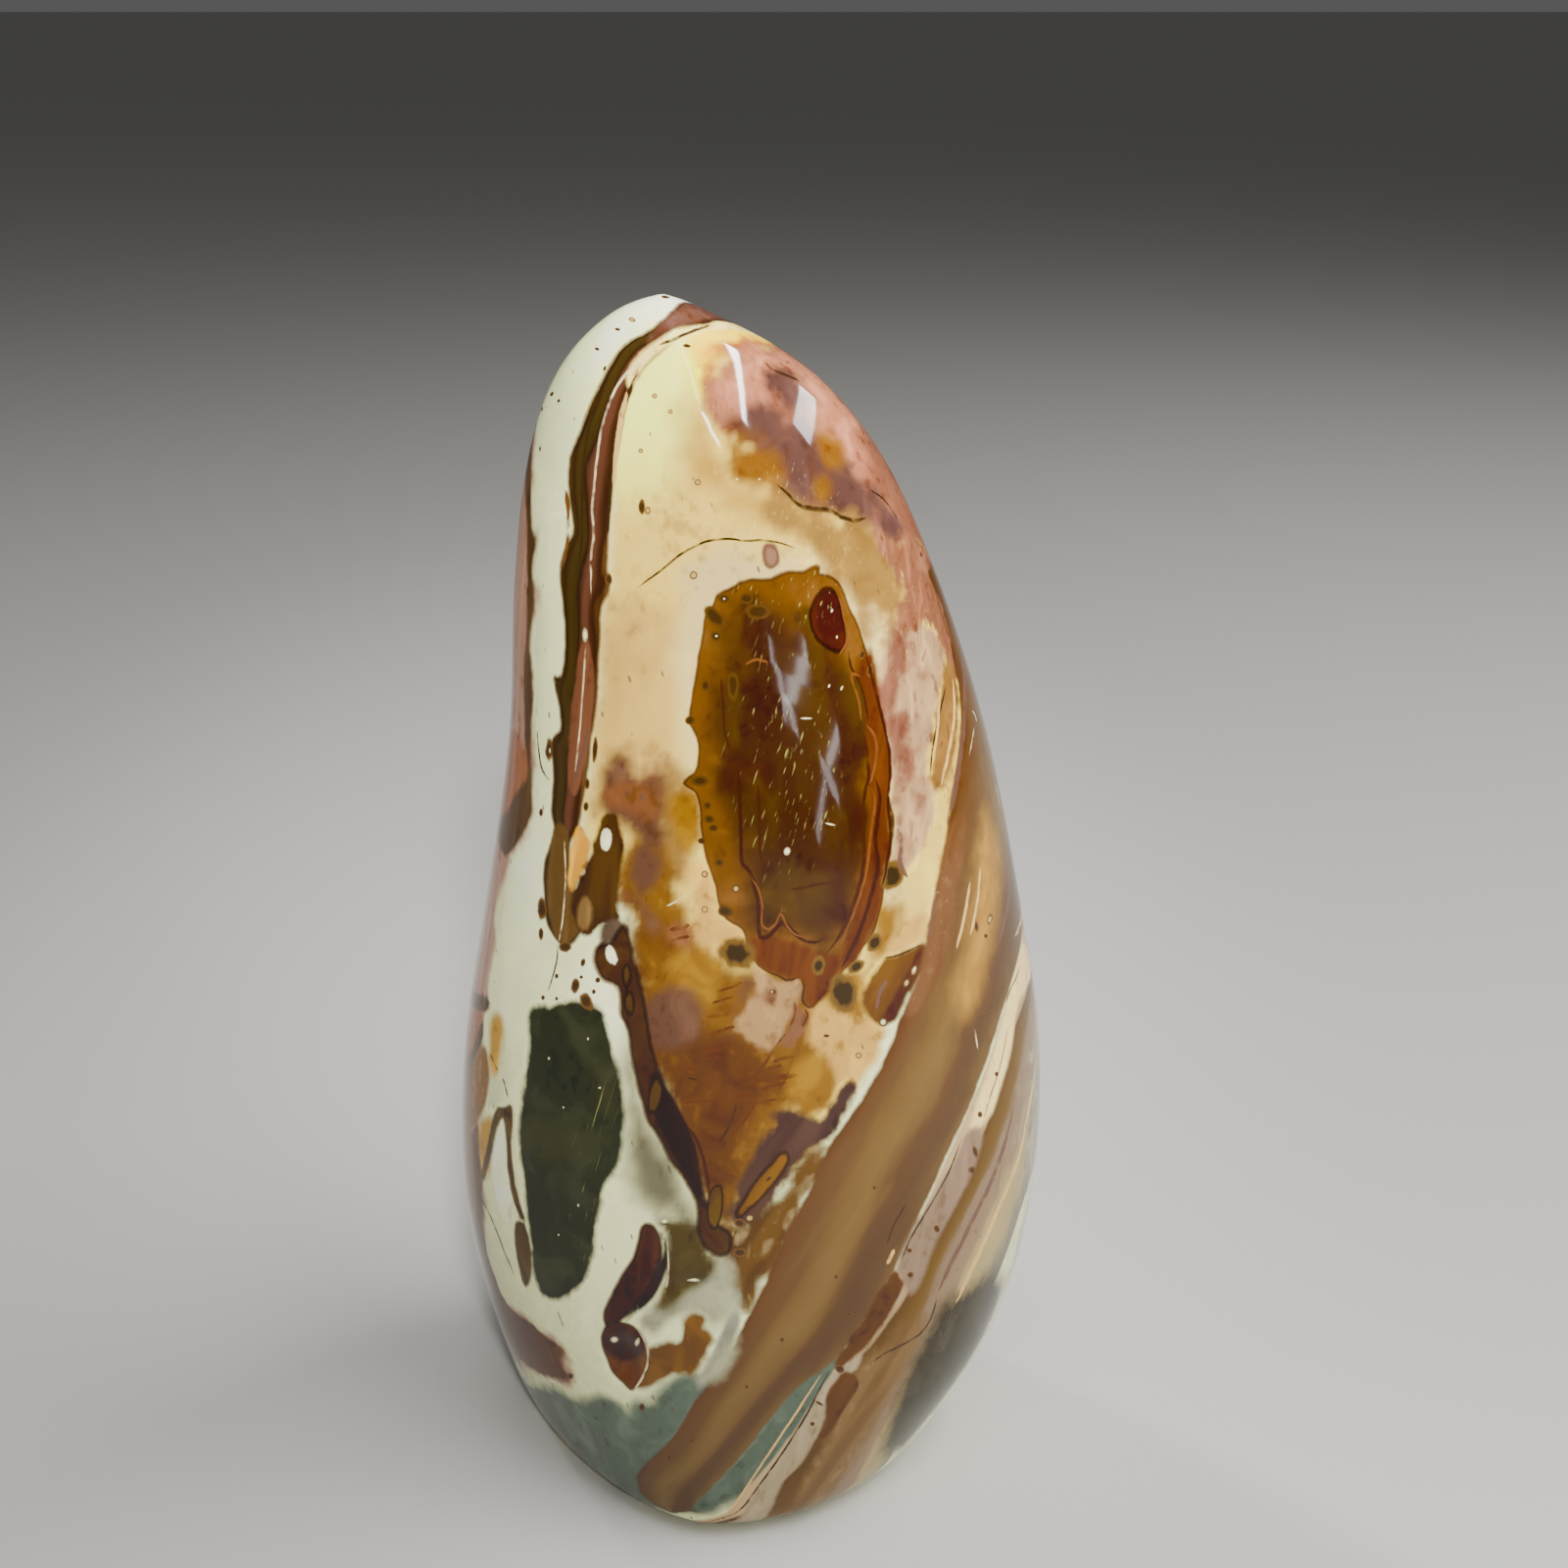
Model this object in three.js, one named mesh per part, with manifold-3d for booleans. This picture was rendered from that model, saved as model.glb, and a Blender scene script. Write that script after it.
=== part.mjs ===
// A polished freeform of polychrome jasper: one stone, ground to a leaning drop, with a flat cut base.
// Millimetres, +Z up. The broad face looks along -Y, and the base rests on z = 0.
import * as THREE from 'three';
import { mergeVertices } from 'three/addons/utils/BufferGeometryUtils.js';
import Module from 'manifold-3d';

// Driving dimensions
const height = 140;
const baseBevelHeight = 2.2; // the cut base's edge is eased, as a lapidary does it
const baseBevelInset = 1.1;
const ringCount = 38;
const quarterSteps = 16; // mesh steps in each quarter of a section

// The stone's plan at key heights z. left, right, front and back are where the section ends.
// noseX is where its front and tailX where its back reaches furthest, flankY the depth of its widest points.
// cornerLeft and cornerRight shape the front corners: 2 is round, more is square, less is cut straight.
const quantities = [
  'z', 'left', 'right', 'front', 'back', 'noseX', 'tailX', 'flankLeftY', 'flankRightY', 'cornerLeft', 'cornerRight',
];
const sections = [
  [0, -31.5, 22.0, -29.4, 23.0, -5.0, -4, 9.5, 3, 1.58, 2.05],
  [6, -33.0, 26.6, -30.0, 25.5, -3.5, -3, 8.5, 3, 1.65, 1.98],
  [16, -34.8, 31.9, -30.0, 28.0, -1.5, -1, 7.5, 3, 1.9, 2.02],
  [32, -36.4, 35.0, -29.0, 29.2, 0, 1, 6.0, 3, 2.2, 2.1],
  [50, -35.2, 35.1, -26.8, 28.4, 1, 2, 5.0, 3, 2.45, 2.1],
  [70, -31.5, 31.7, -24.2, 25.4, 1, 1, 4.0, 2, 2.55, 2.1],
  [90, -27.8, 27.2, -21.2, 20.8, 0, -1, 2.0, 1, 2.55, 2.1],
  [108, -26.4, 21.2, -17.8, 15.2, -2, -3, 0.0, 0, 2.45, 2.1],
  [122, -24.3, 14.8, -15.0, 10.6, -4.5, -5, -1.5, -1, 2.25, 2.05],
  [132, -20.5, 6.4, -12.0, 6.0, -7, -7, -2.5, -2, 2.1, 2.0],
  [138, -14.5, -4.4, -8.2, 1.8, -8.6, -9, -3.2, -3, 2.0, 2.0],
  [140, -9.0, -9.0, -3.4, -3.4, -9.0, -9, -3.4, -3.4, 2.0, 2.0],
].map((row) => Object.fromEntries(quantities.map((name, i) => [name, row[i]])));
const cornerBack = 2.15; // both back corners, a little fuller than round

// Hollows low on the broad face: a chip that was polished over, a narrow vug and a pit beside it.
// at is a point of the skin, facing the turn of the skin there about z, lean the hollow's own slant.
const hollows = [
  { at: [-14.0, -26.4, 23.0], facing: -19, lean: 8, width: 5.2, length: 7.4, depth: 1.0 },
  { at: [-9.3, -27.2, 36.5], facing: -8, lean: -6, width: 1.6, length: 9.0, depth: 0.9 },
  { at: [-6.1, -27.6, 34.2], facing: -6, lean: 52, width: 1.4, length: 3.4, depth: 0.6 },
];
const hollowRoundness = 2.2; // how far each hollow's ellipsoid reaches in, over its depth

// A height as an angle, so that the crown closes round: 0 at the base, a right angle at the tip.
const heightAngle = (z) => Math.asin(z / height);

// Catmull-Rom through the key sections, against the height angle.
function sectionAt(angle) {
  const angles = sections.map((section) => heightAngle(section.z));
  let i = 0;
  while (i < sections.length - 2 && angle > angles[i + 1]) i += 1;
  const span = angles[i + 1] - angles[i];
  const t = (angle - angles[i]) / span;
  const slope = (name, k) => {
    const low = Math.max(k - 1, 0);
    const high = Math.min(k + 1, sections.length - 1);
    return (sections[high][name] - sections[low][name]) / (angles[high] - angles[low]);
  };
  const blended = {};
  for (const name of quantities) {
    const from = sections[i][name];
    const to = sections[i + 1][name];
    const rise = 3 * t * t - 2 * t * t * t;
    blended[name] = from + (to - from) * rise
      + slope(name, i) * span * (t - 2 * t * t + t * t * t)
      + slope(name, i + 1) * span * (t * t * t - t * t);
  }
  return blended;
}

// One quarter of a section: a superellipse from its side point round to its front or back point.
function quarter(centreX, centreY, reachX, reachY, fullness, turns) {
  const power = 2 / fullness;
  return turns.map((turn) => [
    centreX + reachX * Math.cos(turn) ** power,
    centreY + reachY * Math.sin(turn) ** power,
  ]);
}

// The closed outline of a section, anticlockwise from above, starting at its right.
function outline(section) {
  const { left, right, front, back, noseX, tailX, flankLeftY, flankRightY, cornerLeft, cornerRight } = section;
  const turns = Array.from({ length: quarterSteps }, (_, k) => (k / quarterSteps) * (Math.PI / 2));
  const returns = turns.map((turn) => Math.PI / 2 - turn);
  return [
    ...quarter(tailX, flankRightY, right - tailX, back - flankRightY, cornerBack, turns),
    ...quarter(tailX, flankLeftY, left - tailX, back - flankLeftY, cornerBack, returns),
    ...quarter(noseX, flankLeftY, left - noseX, front - flankLeftY, cornerLeft, turns),
    ...quarter(noseX, flankRightY, right - noseX, front - flankRightY, cornerRight, returns),
  ];
}

// Ring angles: closer together towards the crown, so that the facets stay about one size.
function ringAngle(k) {
  const s = k / ringCount;
  return (Math.PI / 2) * (0.55 * s + 0.45 * s * s * s);
}

function bodyGeometry() {
  const around = 4 * quarterSteps;
  const points = [];
  for (let k = 0; k < ringCount; k += 1) {
    const section = sectionAt(ringAngle(k));
    const middleX = (section.left + section.right) / 2;
    const middleY = (section.front + section.back) / 2;
    const bevel = baseBevelInset * Math.max(0, 1 - section.z / baseBevelHeight) ** 2;
    for (const [x, y] of outline(section)) {
      const reach = Math.hypot(x - middleX, y - middleY);
      const eased = 1 - bevel / reach;
      points.push(middleX + (x - middleX) * eased, middleY + (y - middleY) * eased, Math.max(section.z, 0));
    }
  }
  const tip = sections[sections.length - 1];
  const base = sections[0];
  const tipIndex = points.length / 3;
  points.push(tip.left, tip.front, height);
  const baseIndex = tipIndex + 1;
  points.push((base.left + base.right) / 2, (base.front + base.back) / 2, 0);

  const faces = [];
  const at = (k, j) => k * around + (j % around);
  for (let j = 0; j < around; j += 1) {
    faces.push(baseIndex, at(0, j + 1), at(0, j));
    faces.push(at(ringCount - 1, j), at(ringCount - 1, j + 1), tipIndex);
    for (let k = 0; k < ringCount - 1; k += 1) {
      faces.push(at(k, j), at(k, j + 1), at(k + 1, j + 1));
      faces.push(at(k, j), at(k + 1, j + 1), at(k + 1, j));
    }
  }
  const geometry = new THREE.BufferGeometry();
  geometry.setAttribute('position', new THREE.Float32BufferAttribute(points, 3));
  geometry.setIndex(faces);
  return mergeVertices(geometry);
}

// An ellipsoid that leaves a hollow of the given width, length and depth in the skin.
function hollowGeometry({ at, facing, lean, width, length, depth }) {
  const reach = depth * hollowRoundness;
  const outside = reach - depth;
  const opening = Math.sqrt(1 - (outside / reach) ** 2); // the ellipsoid's share that meets the skin
  const geometry = new THREE.SphereGeometry(1, 24, 16);
  geometry.deleteAttribute('normal');
  geometry.deleteAttribute('uv');
  geometry.scale(width / 2 / opening, reach, length / 2 / opening);
  geometry.rotateY(THREE.MathUtils.degToRad(lean));
  geometry.translate(0, -outside, 0);
  geometry.rotateZ(THREE.MathUtils.degToRad(facing));
  geometry.translate(...at);
  return mergeVertices(geometry);
}

const wasm = await Module();
wasm.setup();

function solidOf(geometry) {
  return new wasm.Manifold(new wasm.Mesh({
    numProp: 3,
    vertProperties: new Float32Array(geometry.attributes.position.array),
    triVerts: new Uint32Array(geometry.index.array),
  }));
}

function geometryOf(solid) {
  const mesh = solid.getMesh();
  const geometry = new THREE.BufferGeometry();
  geometry.setAttribute('position', new THREE.Float32BufferAttribute(mesh.vertProperties, 3));
  geometry.setIndex([...mesh.triVerts]);
  return geometry;
}

// The origin is the middle of the stone's box, on the surface that it rests on.
function settle(geometry) {
  geometry.computeBoundingBox();
  const middle = geometry.boundingBox.getCenter(new THREE.Vector3());
  return geometry.translate(-middle.x, -middle.y, -geometry.boundingBox.min.z);
}

function stoneGeometry() {
  const body = solidOf(settle(bodyGeometry()));
  const carved = hollows.reduce((solid, hollow) => solid.subtract(solidOf(hollowGeometry(hollow))), body);
  return geometryOf(carved);
}

const jasper = new THREE.MeshStandardMaterial({ color: 0xc9a876, roughness: 0.18, metalness: 0 });

const stone = new THREE.Mesh(stoneGeometry(), jasper);
stone.name = 'jasper_stone';

const part = new THREE.Group();
part.add(stone);
export default part;
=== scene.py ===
# A polished freeform of polychrome jasper: the stone, its markings, its small hollows and its polish.
import math

import bpy
import numpy as np
from mathutils import Matrix, Vector, noise
from mathutils.bvhtree import BVHTree


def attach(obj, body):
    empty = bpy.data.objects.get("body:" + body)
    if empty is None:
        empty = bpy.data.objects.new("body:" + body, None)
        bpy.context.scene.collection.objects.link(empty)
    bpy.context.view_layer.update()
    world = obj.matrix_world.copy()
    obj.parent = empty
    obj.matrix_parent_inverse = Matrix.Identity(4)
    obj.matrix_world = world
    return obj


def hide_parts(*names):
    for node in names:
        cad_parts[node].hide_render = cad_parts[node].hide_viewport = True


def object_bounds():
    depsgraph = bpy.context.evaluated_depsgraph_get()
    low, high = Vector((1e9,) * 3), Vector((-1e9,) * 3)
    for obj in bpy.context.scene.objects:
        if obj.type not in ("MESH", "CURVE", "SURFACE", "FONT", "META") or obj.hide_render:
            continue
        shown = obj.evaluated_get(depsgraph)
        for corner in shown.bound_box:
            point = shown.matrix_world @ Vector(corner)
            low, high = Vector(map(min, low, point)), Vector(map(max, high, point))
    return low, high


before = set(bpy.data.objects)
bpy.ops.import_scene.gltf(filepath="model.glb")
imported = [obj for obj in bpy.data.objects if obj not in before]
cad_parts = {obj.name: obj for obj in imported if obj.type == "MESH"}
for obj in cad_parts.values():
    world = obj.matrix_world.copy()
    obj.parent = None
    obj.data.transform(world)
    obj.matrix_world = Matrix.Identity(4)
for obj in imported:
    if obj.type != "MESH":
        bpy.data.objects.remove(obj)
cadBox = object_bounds()
mm = 0.001

# Where the stone is seen from. Pixels below are of a square picture with side pixels to an edge.
viewpoint = {
    "place": (4.3 * mm, -237.7 * mm, 170 * mm),
    "down": 20,  # degrees below level
    "lens": 50,
    "sensor": 36,
    "side": 1600,
    "nearest": 10 * mm,  # nothing closer than this is drawn
}


def makeCamera():
    tilt = math.radians(90 - viewpoint["down"])
    bpy.ops.object.camera_add(location=viewpoint["place"], rotation=(tilt, 0, 0))
    camera = bpy.context.active_object
    camera.name = "photoCamera"
    camera.data.lens = viewpoint["lens"]
    camera.data.sensor_width = viewpoint["sensor"]
    camera.data.clip_start = viewpoint["nearest"]
    bpy.context.scene.camera = camera
    print("camera placed")
    return camera


# The stone's skin: a smooth, even copy of the CAD solid
skin = {
    "merging": 0.001 * mm,  # corners of the solid closer than this become one
    "rounding": 2,  # subdivision levels that round the facets away
    "voxel": 0.6 * mm,
    "smoothing": 8,  # passes that settle the remeshed skin
    "settling": 0.5,  # how strong each pass is
    "shrink": 0.02 * mm,  # keeps the skin inside the solid's box
}


def selectOnly(piece):
    bpy.ops.object.select_all(action="DESELECT")
    piece.select_set(True)
    bpy.context.view_layer.objects.active = piece


def applyModifier(piece, kind, **values):
    selectOnly(piece)
    modifier = piece.modifiers.new(kind.lower(), kind)
    for name, value in values.items():
        setattr(modifier, name, value)
    bpy.ops.object.modifier_apply(modifier=modifier.name)


def makeSkin():
    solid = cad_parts["jasper_stone"]
    stone = solid.copy()
    stone.data = solid.data.copy()
    stone.parent = None
    for key in list(stone.keys()):
        del stone[key]
    stone.name = "polishedStone"
    bpy.context.scene.collection.objects.link(stone)
    selectOnly(stone)
    bpy.ops.object.mode_set(mode="EDIT")
    bpy.ops.mesh.select_all(action="SELECT")
    bpy.ops.mesh.remove_doubles(threshold=skin["merging"])
    bpy.ops.mesh.tris_convert_to_quads()
    bpy.ops.object.mode_set(mode="OBJECT")
    applyModifier(stone, "SUBSURF", levels=skin["rounding"], render_levels=skin["rounding"])
    applyModifier(stone, "REMESH", mode="VOXEL", voxel_size=skin["voxel"])
    applyModifier(stone, "SMOOTH", factor=skin["settling"], iterations=skin["smoothing"])
    bpy.ops.object.shade_smooth()
    keepInBox(stone)
    print("skin made:", len(stone.data.polygons), "faces")
    return stone


def readPoints(piece):
    points = np.empty(len(piece.data.vertices) * 3)
    piece.data.vertices.foreach_get("co", points)
    return points.reshape(-1, 3)


def writePoints(piece, points):
    piece.data.vertices.foreach_set("co", points.ravel())
    piece.data.update()


def keepInBox(piece):
    low, high = (np.array(corner) for corner in cadBox)
    points = readPoints(piece)
    points[:, :2] = np.clip(points[:, :2], low[:2] + skin["shrink"], high[:2] - skin["shrink"])
    points[:, 2] = np.clip(points[:, 2], low[2], high[2] - skin["shrink"])
    writePoints(piece, points)


# The skin unrolled: every place is a turn about the stone's middle line and a climb along the skin. Above the
# hinge the levels fan backwards, so that the crown's front unrolls evenly too.
unrolling = {
    "levels": 48,
    "hingeBehind": 30 * mm,
    "hingeHeight": 95 * mm,
    "lever": 35 * mm,
    "pastOutline": 0.5,  # a pixel past the outline is so many degrees further round
    "innerRows": (400, 1450),  # a line well inside the outline, in pixels: the rows and columns of its ends
    "innerColumns": (690, 765),
    "halvings": 16,  # steps that find the outline between that line and a pixel past it
    "farOut": 60 * mm,  # further out than the stone reaches
}


def fanned(points):
    # Across, towards the back, and level
    rise = points[:, 2] - unrolling["hingeHeight"]
    behind = unrolling["hingeBehind"] - points[:, 1]
    back = np.where(rise > 0, unrolling["hingeBehind"] - np.hypot(rise, behind), points[:, 1])
    climbed = unrolling["hingeHeight"] + np.arctan2(rise, behind) * unrolling["lever"]
    return points[:, 0], back, np.where(rise > 0, climbed, points[:, 2])


class Unrolled:
    def __init__(self, stone):
        points = readPoints(stone)
        across, back, level = fanned(points)
        edges = np.linspace(level.min(), level.max(), unrolling["levels"] + 1)
        self.levels = (edges[1:] + edges[:-1]) / 2
        rows = [(level >= low) & (level <= high) for low, high in zip(edges, edges[1:])]
        self.middleX = np.array([(across[row].min() + across[row].max()) / 2 for row in rows])
        self.middleY = np.array([(back[row].min() + back[row].max()) / 2 for row in rows])
        middles = zip(rows, self.middleX, self.middleY)
        self.radius = np.array([np.hypot(across[row] - x, back[row] - y).mean() for row, x, y in middles])
        steps = np.hypot(np.diff(self.levels), np.diff(self.radius))
        self.climbs = np.concatenate([[0], np.cumsum(steps)])
        selectOnly(stone)
        self.tree = BVHTree.FromObject(stone, bpy.context.evaluated_depsgraph_get())
        self.eye = Vector(viewpoint["place"])
        self.tilt = Matrix.Rotation(math.radians(90 - viewpoint["down"]), 3, "X")
        self.focal = viewpoint["lens"] / viewpoint["sensor"] * viewpoint["side"]

    def turnAndClimb(self, points):
        across, back, level = fanned(points)
        x = across - np.interp(level, self.levels, self.middleX)
        y = back - np.interp(level, self.levels, self.middleY)
        return np.arctan2(x, -y), np.interp(level, self.levels, self.climbs)

    def radiusAt(self, climb):
        return np.interp(climb, self.climbs, self.radius)

    def seen(self, pixel):
        half = viewpoint["side"] / 2
        ray = self.tilt @ Vector(((pixel[0] - half) / self.focal, (half - pixel[1]) / self.focal, -1))
        return self.tree.ray_cast(self.eye, ray)[0]

    def placeOf(self, point):
        # A point is a pixel, or a turn in degrees and a height in millimetres on the sides and the back
        if len(point) == 3:
            return self.placeRound(math.radians(point[0]), point[1] * mm)
        pixel = np.array(point, float)
        spot = self.seen(pixel)
        past = 0
        if spot is None:
            # Past the outline it lies round the side: the last pixel on the stone, then further round
            rows, columns = unrolling["innerRows"], unrolling["innerColumns"]
            inner = np.array([np.interp(pixel[1], rows, columns), np.clip(pixel[1], *rows)])
            near, far = 0.0, 1.0
            for _ in range(unrolling["halvings"]):
                middle = (near + far) / 2
                hit = self.seen(inner + (pixel - inner) * middle)
                near, far = (middle, far) if hit else (near, middle)
                spot = hit or spot
            past = np.hypot(*(pixel - inner)) * (1 - near) * np.sign(pixel[0] - inner[0])
        turn, climb = self.turnAndClimb(np.array([spot]))
        return turn[0] + math.radians(past * unrolling["pastOutline"]), climb[0]

    def placeRound(self, turn, height):
        # Out from the middle at that height, the way the turn points
        out = Vector((math.sin(turn), -math.cos(turn), 0))
        x, y = (np.interp(height, self.levels, middle) for middle in (self.middleX, self.middleY))
        spot = self.tree.ray_cast(Vector((x, y, height)) + out * unrolling["farOut"], -out)[0]
        found, climb = self.turnAndClimb(np.array([spot]))
        return turn + (found[0] - turn + math.pi) % (2 * math.pi) - math.pi, climb[0]


def smoothed(points, closed, steps=3):
    # A Catmull-Rom curve through the points
    if closed:
        padded = np.vstack([points[-1], points, points[:2]])
    else:
        padded = np.vstack([2 * points[0] - points[1], points, 2 * points[-1] - points[-2]])
    curve = []
    for before, start, end, after in zip(padded, padded[1:], padded[2:], padded[3:]):
        for t in np.arange(steps) / steps:
            curve.append(0.5 * (
                2 * start + (end - before) * t
                + (2 * before - 5 * start + 4 * end - after) * t ** 2
                + (3 * start - before - 3 * end + after) * t ** 3
            ))
    if not closed:
        curve.append(points[-1])
    return np.array(curve)


tiny = 1e-9


def nearestOnLine(places, line):
    # Squared distance to the line, which side of it, and how far along it
    gapBest = np.full(len(places), np.inf)
    side = np.zeros(len(places))
    along = np.zeros(len(places))
    travelled = 0
    for start, end in zip(line, line[1:]):
        step = end - start
        length = math.hypot(*step)
        if length < tiny:
            continue
        offset = places - start
        share = (offset @ step) / length ** 2
        clipped = np.clip(share, 0, 1)
        gap = ((offset - clipped[:, None] * step) ** 2).sum(1)
        closer = gap < gapBest
        gapBest = np.where(closer, gap, gapBest)
        side = np.where(closer, np.sign(offset[:, 0] * step[1] - offset[:, 1] * step[0]), side)
        along = np.where(closer, travelled + share * length, along)
        travelled += length
    return gapBest, side, along, travelled


def insideOf(places, outline):
    inside = np.zeros(len(places), bool)
    for start, end in zip(outline, np.roll(outline, -1, axis=0)):
        if start[1] == end[1]:
            continue
        crosses = (start[1] > places[:, 1]) != (end[1] > places[:, 1])
        reach = start[0] + (places[:, 1] - start[1]) * (end[0] - start[0]) / (end[1] - start[1])
        inside ^= crosses & (places[:, 0] < reach)
    return inside


class Surveyor:
    # Measures every point of the skin against outlines and lines drawn in the picture
    reach = 9 * mm  # nothing further off is measured
    pixelStep = 2  # how far either way, in pixels, a place's foreshortening is measured
    fringe = 4 * mm  # past its outer lines a layer's place goes on by one in this length
    thinnest = 1e-6  # a layer is taken to be at least this thick

    def __init__(self, unrolled, stone):
        self.unrolled = unrolled
        self.turn, self.climb = unrolled.turnAndClimb(readPoints(stone))
        self.radius = unrolled.radiusAt(self.climb)

    def flatten(self, points, closed):
        drawn = np.array([self.unrolled.placeOf(point) for point in points])
        drawn[:, 0] = np.unwrap(drawn[:, 0])
        drawn = smoothed(drawn, closed)
        middle = (drawn[:, 0].min() + drawn[:, 0].max()) / 2
        turn = (self.turn - middle + math.pi) % (2 * math.pi) - math.pi
        places = np.column_stack([turn * self.radius, self.climb])
        line = np.column_stack([(drawn[:, 0] - middle) * self.unrolled.radiusAt(drawn[:, 1]), drawn[:, 1]])
        return places, line

    def near(self, places, line, reach):
        return np.all((places > line.min(0) - reach) & (places < line.max(0) + reach), axis=1)

    def depthIn(self, outlines):
        # Distance to the nearest outline, above zero inside. An outline of plain numbers is a patch.
        depth = np.full(len(self.turn), -self.reach)
        for pixels in outlines:
            if not isinstance(pixels[0], tuple):
                depth = np.maximum(depth, np.minimum(self.patchDepth(pixels), self.reach))
                continue
            places, line = self.flatten(pixels, True)
            near = self.near(places, line, self.reach)
            gap = np.sqrt(nearestOnLine(places[near], np.vstack([line, line[:1]]))[0])
            signed = np.where(insideOf(places[near], line), gap, -gap)
            depth[near] = np.maximum(depth[near], signed)
        return depth

    def around(self, point, lean):
        # The skin's offsets from a point as the picture shows them, turned by the lean
        turn, climb = self.unrolled.placeOf(point)
        across = ((self.turn - turn + math.pi) % (2 * math.pi) - math.pi) * self.radius
        up = self.climb - climb
        if len(point) == 2:
            # The flanks are foreshortened: what a few pixels either way cover there
            (u, v), step = point, self.pixelStep
            spread = []
            for ahead, behind in (((u + step, v), (u - step, v)), ((u, v - step), (u, v + step))):
                turns, climbs = zip(self.unrolled.placeOf(ahead), self.unrolled.placeOf(behind))
                spread.append([(turns[0] - turns[1]) * self.unrolled.radiusAt(climb), climbs[0] - climbs[1]])
            covered = np.array(spread).T / (2 * step * pixelSize)
            across, up = np.linalg.inv(covered) @ np.array([across, up])
        cosine, sine = math.cos(math.radians(lean)), math.sin(math.radians(lean))
        return across * cosine - up * sine, across * sine + up * cosine

    def patchDepth(self, patch):
        # A patch is a leaning oval: its middle, width and height in pixels and lean in degrees
        width, height, lean = patch[-3:]
        x, y = self.around(patch[:-3], lean)
        halfWidth, halfHeight = width * pixelSize / 2, height * pixelSize / 2
        share = np.hypot(x / halfWidth, y / halfHeight)
        slope = np.hypot(x / halfWidth ** 2, y / halfHeight ** 2)
        return (1 - share) * share / np.maximum(slope, tiny)

    def pastLine(self, pixels):
        # Distance to an open line, above zero on its right as it is drawn downwards
        places, line = self.flatten(pixels, False)
        gap, side, _, _ = nearestOnLine(places, line)
        return np.sqrt(gap) * -side

    def layerPlace(self, gaps):
        # 0 at the first line, 1 at the second and so on, evenly between
        place = gaps[0] / self.fringe
        for k, (gap, following) in enumerate(zip(gaps, gaps[1:])):
            place = np.where(gap >= 0, k + gap / np.maximum(gap - following, self.thinnest), place)
        return np.where(gaps[-1] >= 0, len(gaps) - 1 + gaps[-1] / self.fringe, place)

    def spotPlace(self, spot):
        # A spot's own coordinates around it, and how far outside it lies in millimetres
        width, height, lean = spot[-3:]
        x, y = self.around(spot[:-3], lean)
        halfWidth, halfHeight = width * pixelSize / 2, height * pixelSize / 2
        outside = np.maximum(np.abs(x) - halfWidth, np.abs(y) - halfHeight) / mm
        return np.column_stack([x / halfWidth, y / halfHeight, outside])

    def linePlace(self, width, pixels):
        # Across the line in half widths, along it from 0 to 1, and the distance in millimetres
        found = np.tile(nowhere, (len(self.turn), 1))
        places, line = self.flatten(pixels, False)
        near = np.flatnonzero(self.near(places, line, 2 * finishReach * mm))
        gap, side, along, length = nearestOnLine(places[near], line)
        gap = np.sqrt(gap)
        halfWidth = width * pixelSize / 2
        found[near] = np.column_stack([gap * side / halfWidth, along / length, gap / mm])
        return found


pixelSize = 0.108 * mm  # what one pixel of the picture covers on the stone
finishReach = 1.3  # a spot or line is measured this far out, in millimetres
nowhere = (99.0, 0.5, 9.0)  # the place of a point that no line or spot comes near
sheetGap = 0.4  # markings whose edges come nearer than this lie on separate sheets, in millimetres


def storeValue(piece, name, values):
    attribute = piece.data.attributes.new(name, "FLOAT", "POINT")
    attribute.data.foreach_set("value", values.astype(np.float32))


def storeColour(piece, name, values, fourths):
    # Three numbers and a fourth beside them, all in one attribute of each vertex
    rows = np.column_stack([values, fourths]).astype(np.float32)
    piece.data.attributes.new(name, "FLOAT_COLOR", "POINT").data.foreach_set("color", rows.ravel())


def storeVector(piece, name, values):
    attribute = piece.data.attributes.new(name, "FLOAT_VECTOR", "POINT")
    attribute.data.foreach_set("vector", values.astype(np.float32).ravel())


# Lines that bound the long layers, drawn from the top down
bandOuter = [
    (800, 349), (785, 341), (760, 325), (740, 316), (710, 307), (697, 309), (687, 319), (670, 333),
    (655, 342), (640, 350), (626, 368), (612, 395), (600, 420), (592, 442), (583, 465), (581, 500),
    (585, 530), (585, 545), (576, 562), (572, 585), (575, 620), (577, 655), (576, 680), (571, 693),
    (565, 690), (569, 710), (573, 735), (571, 748), (563, 757), (565, 790), (563, 830), (567, 846),
    (561, 865), (556, 880), (556, 910), (558, 940), (567, 957), (577, 966), (586, 960), (593, 949),
]
bandInner = [
    (800, 350), (785, 344), (760, 331), (740, 329), (718, 333), (700, 339), (680, 353), (655, 378),
    (642, 402), (633, 440), (627, 480), (622, 520), (619, 560), (618, 583), (622, 590), (620, 604),
    (612, 622), (611, 660), (609, 700), (606, 735), (602, 752), (600, 775), (597, 800), (592, 830),
    (588, 850), (582, 858), (581, 880), (584, 905), (590, 925), (596, 940),
]
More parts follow.
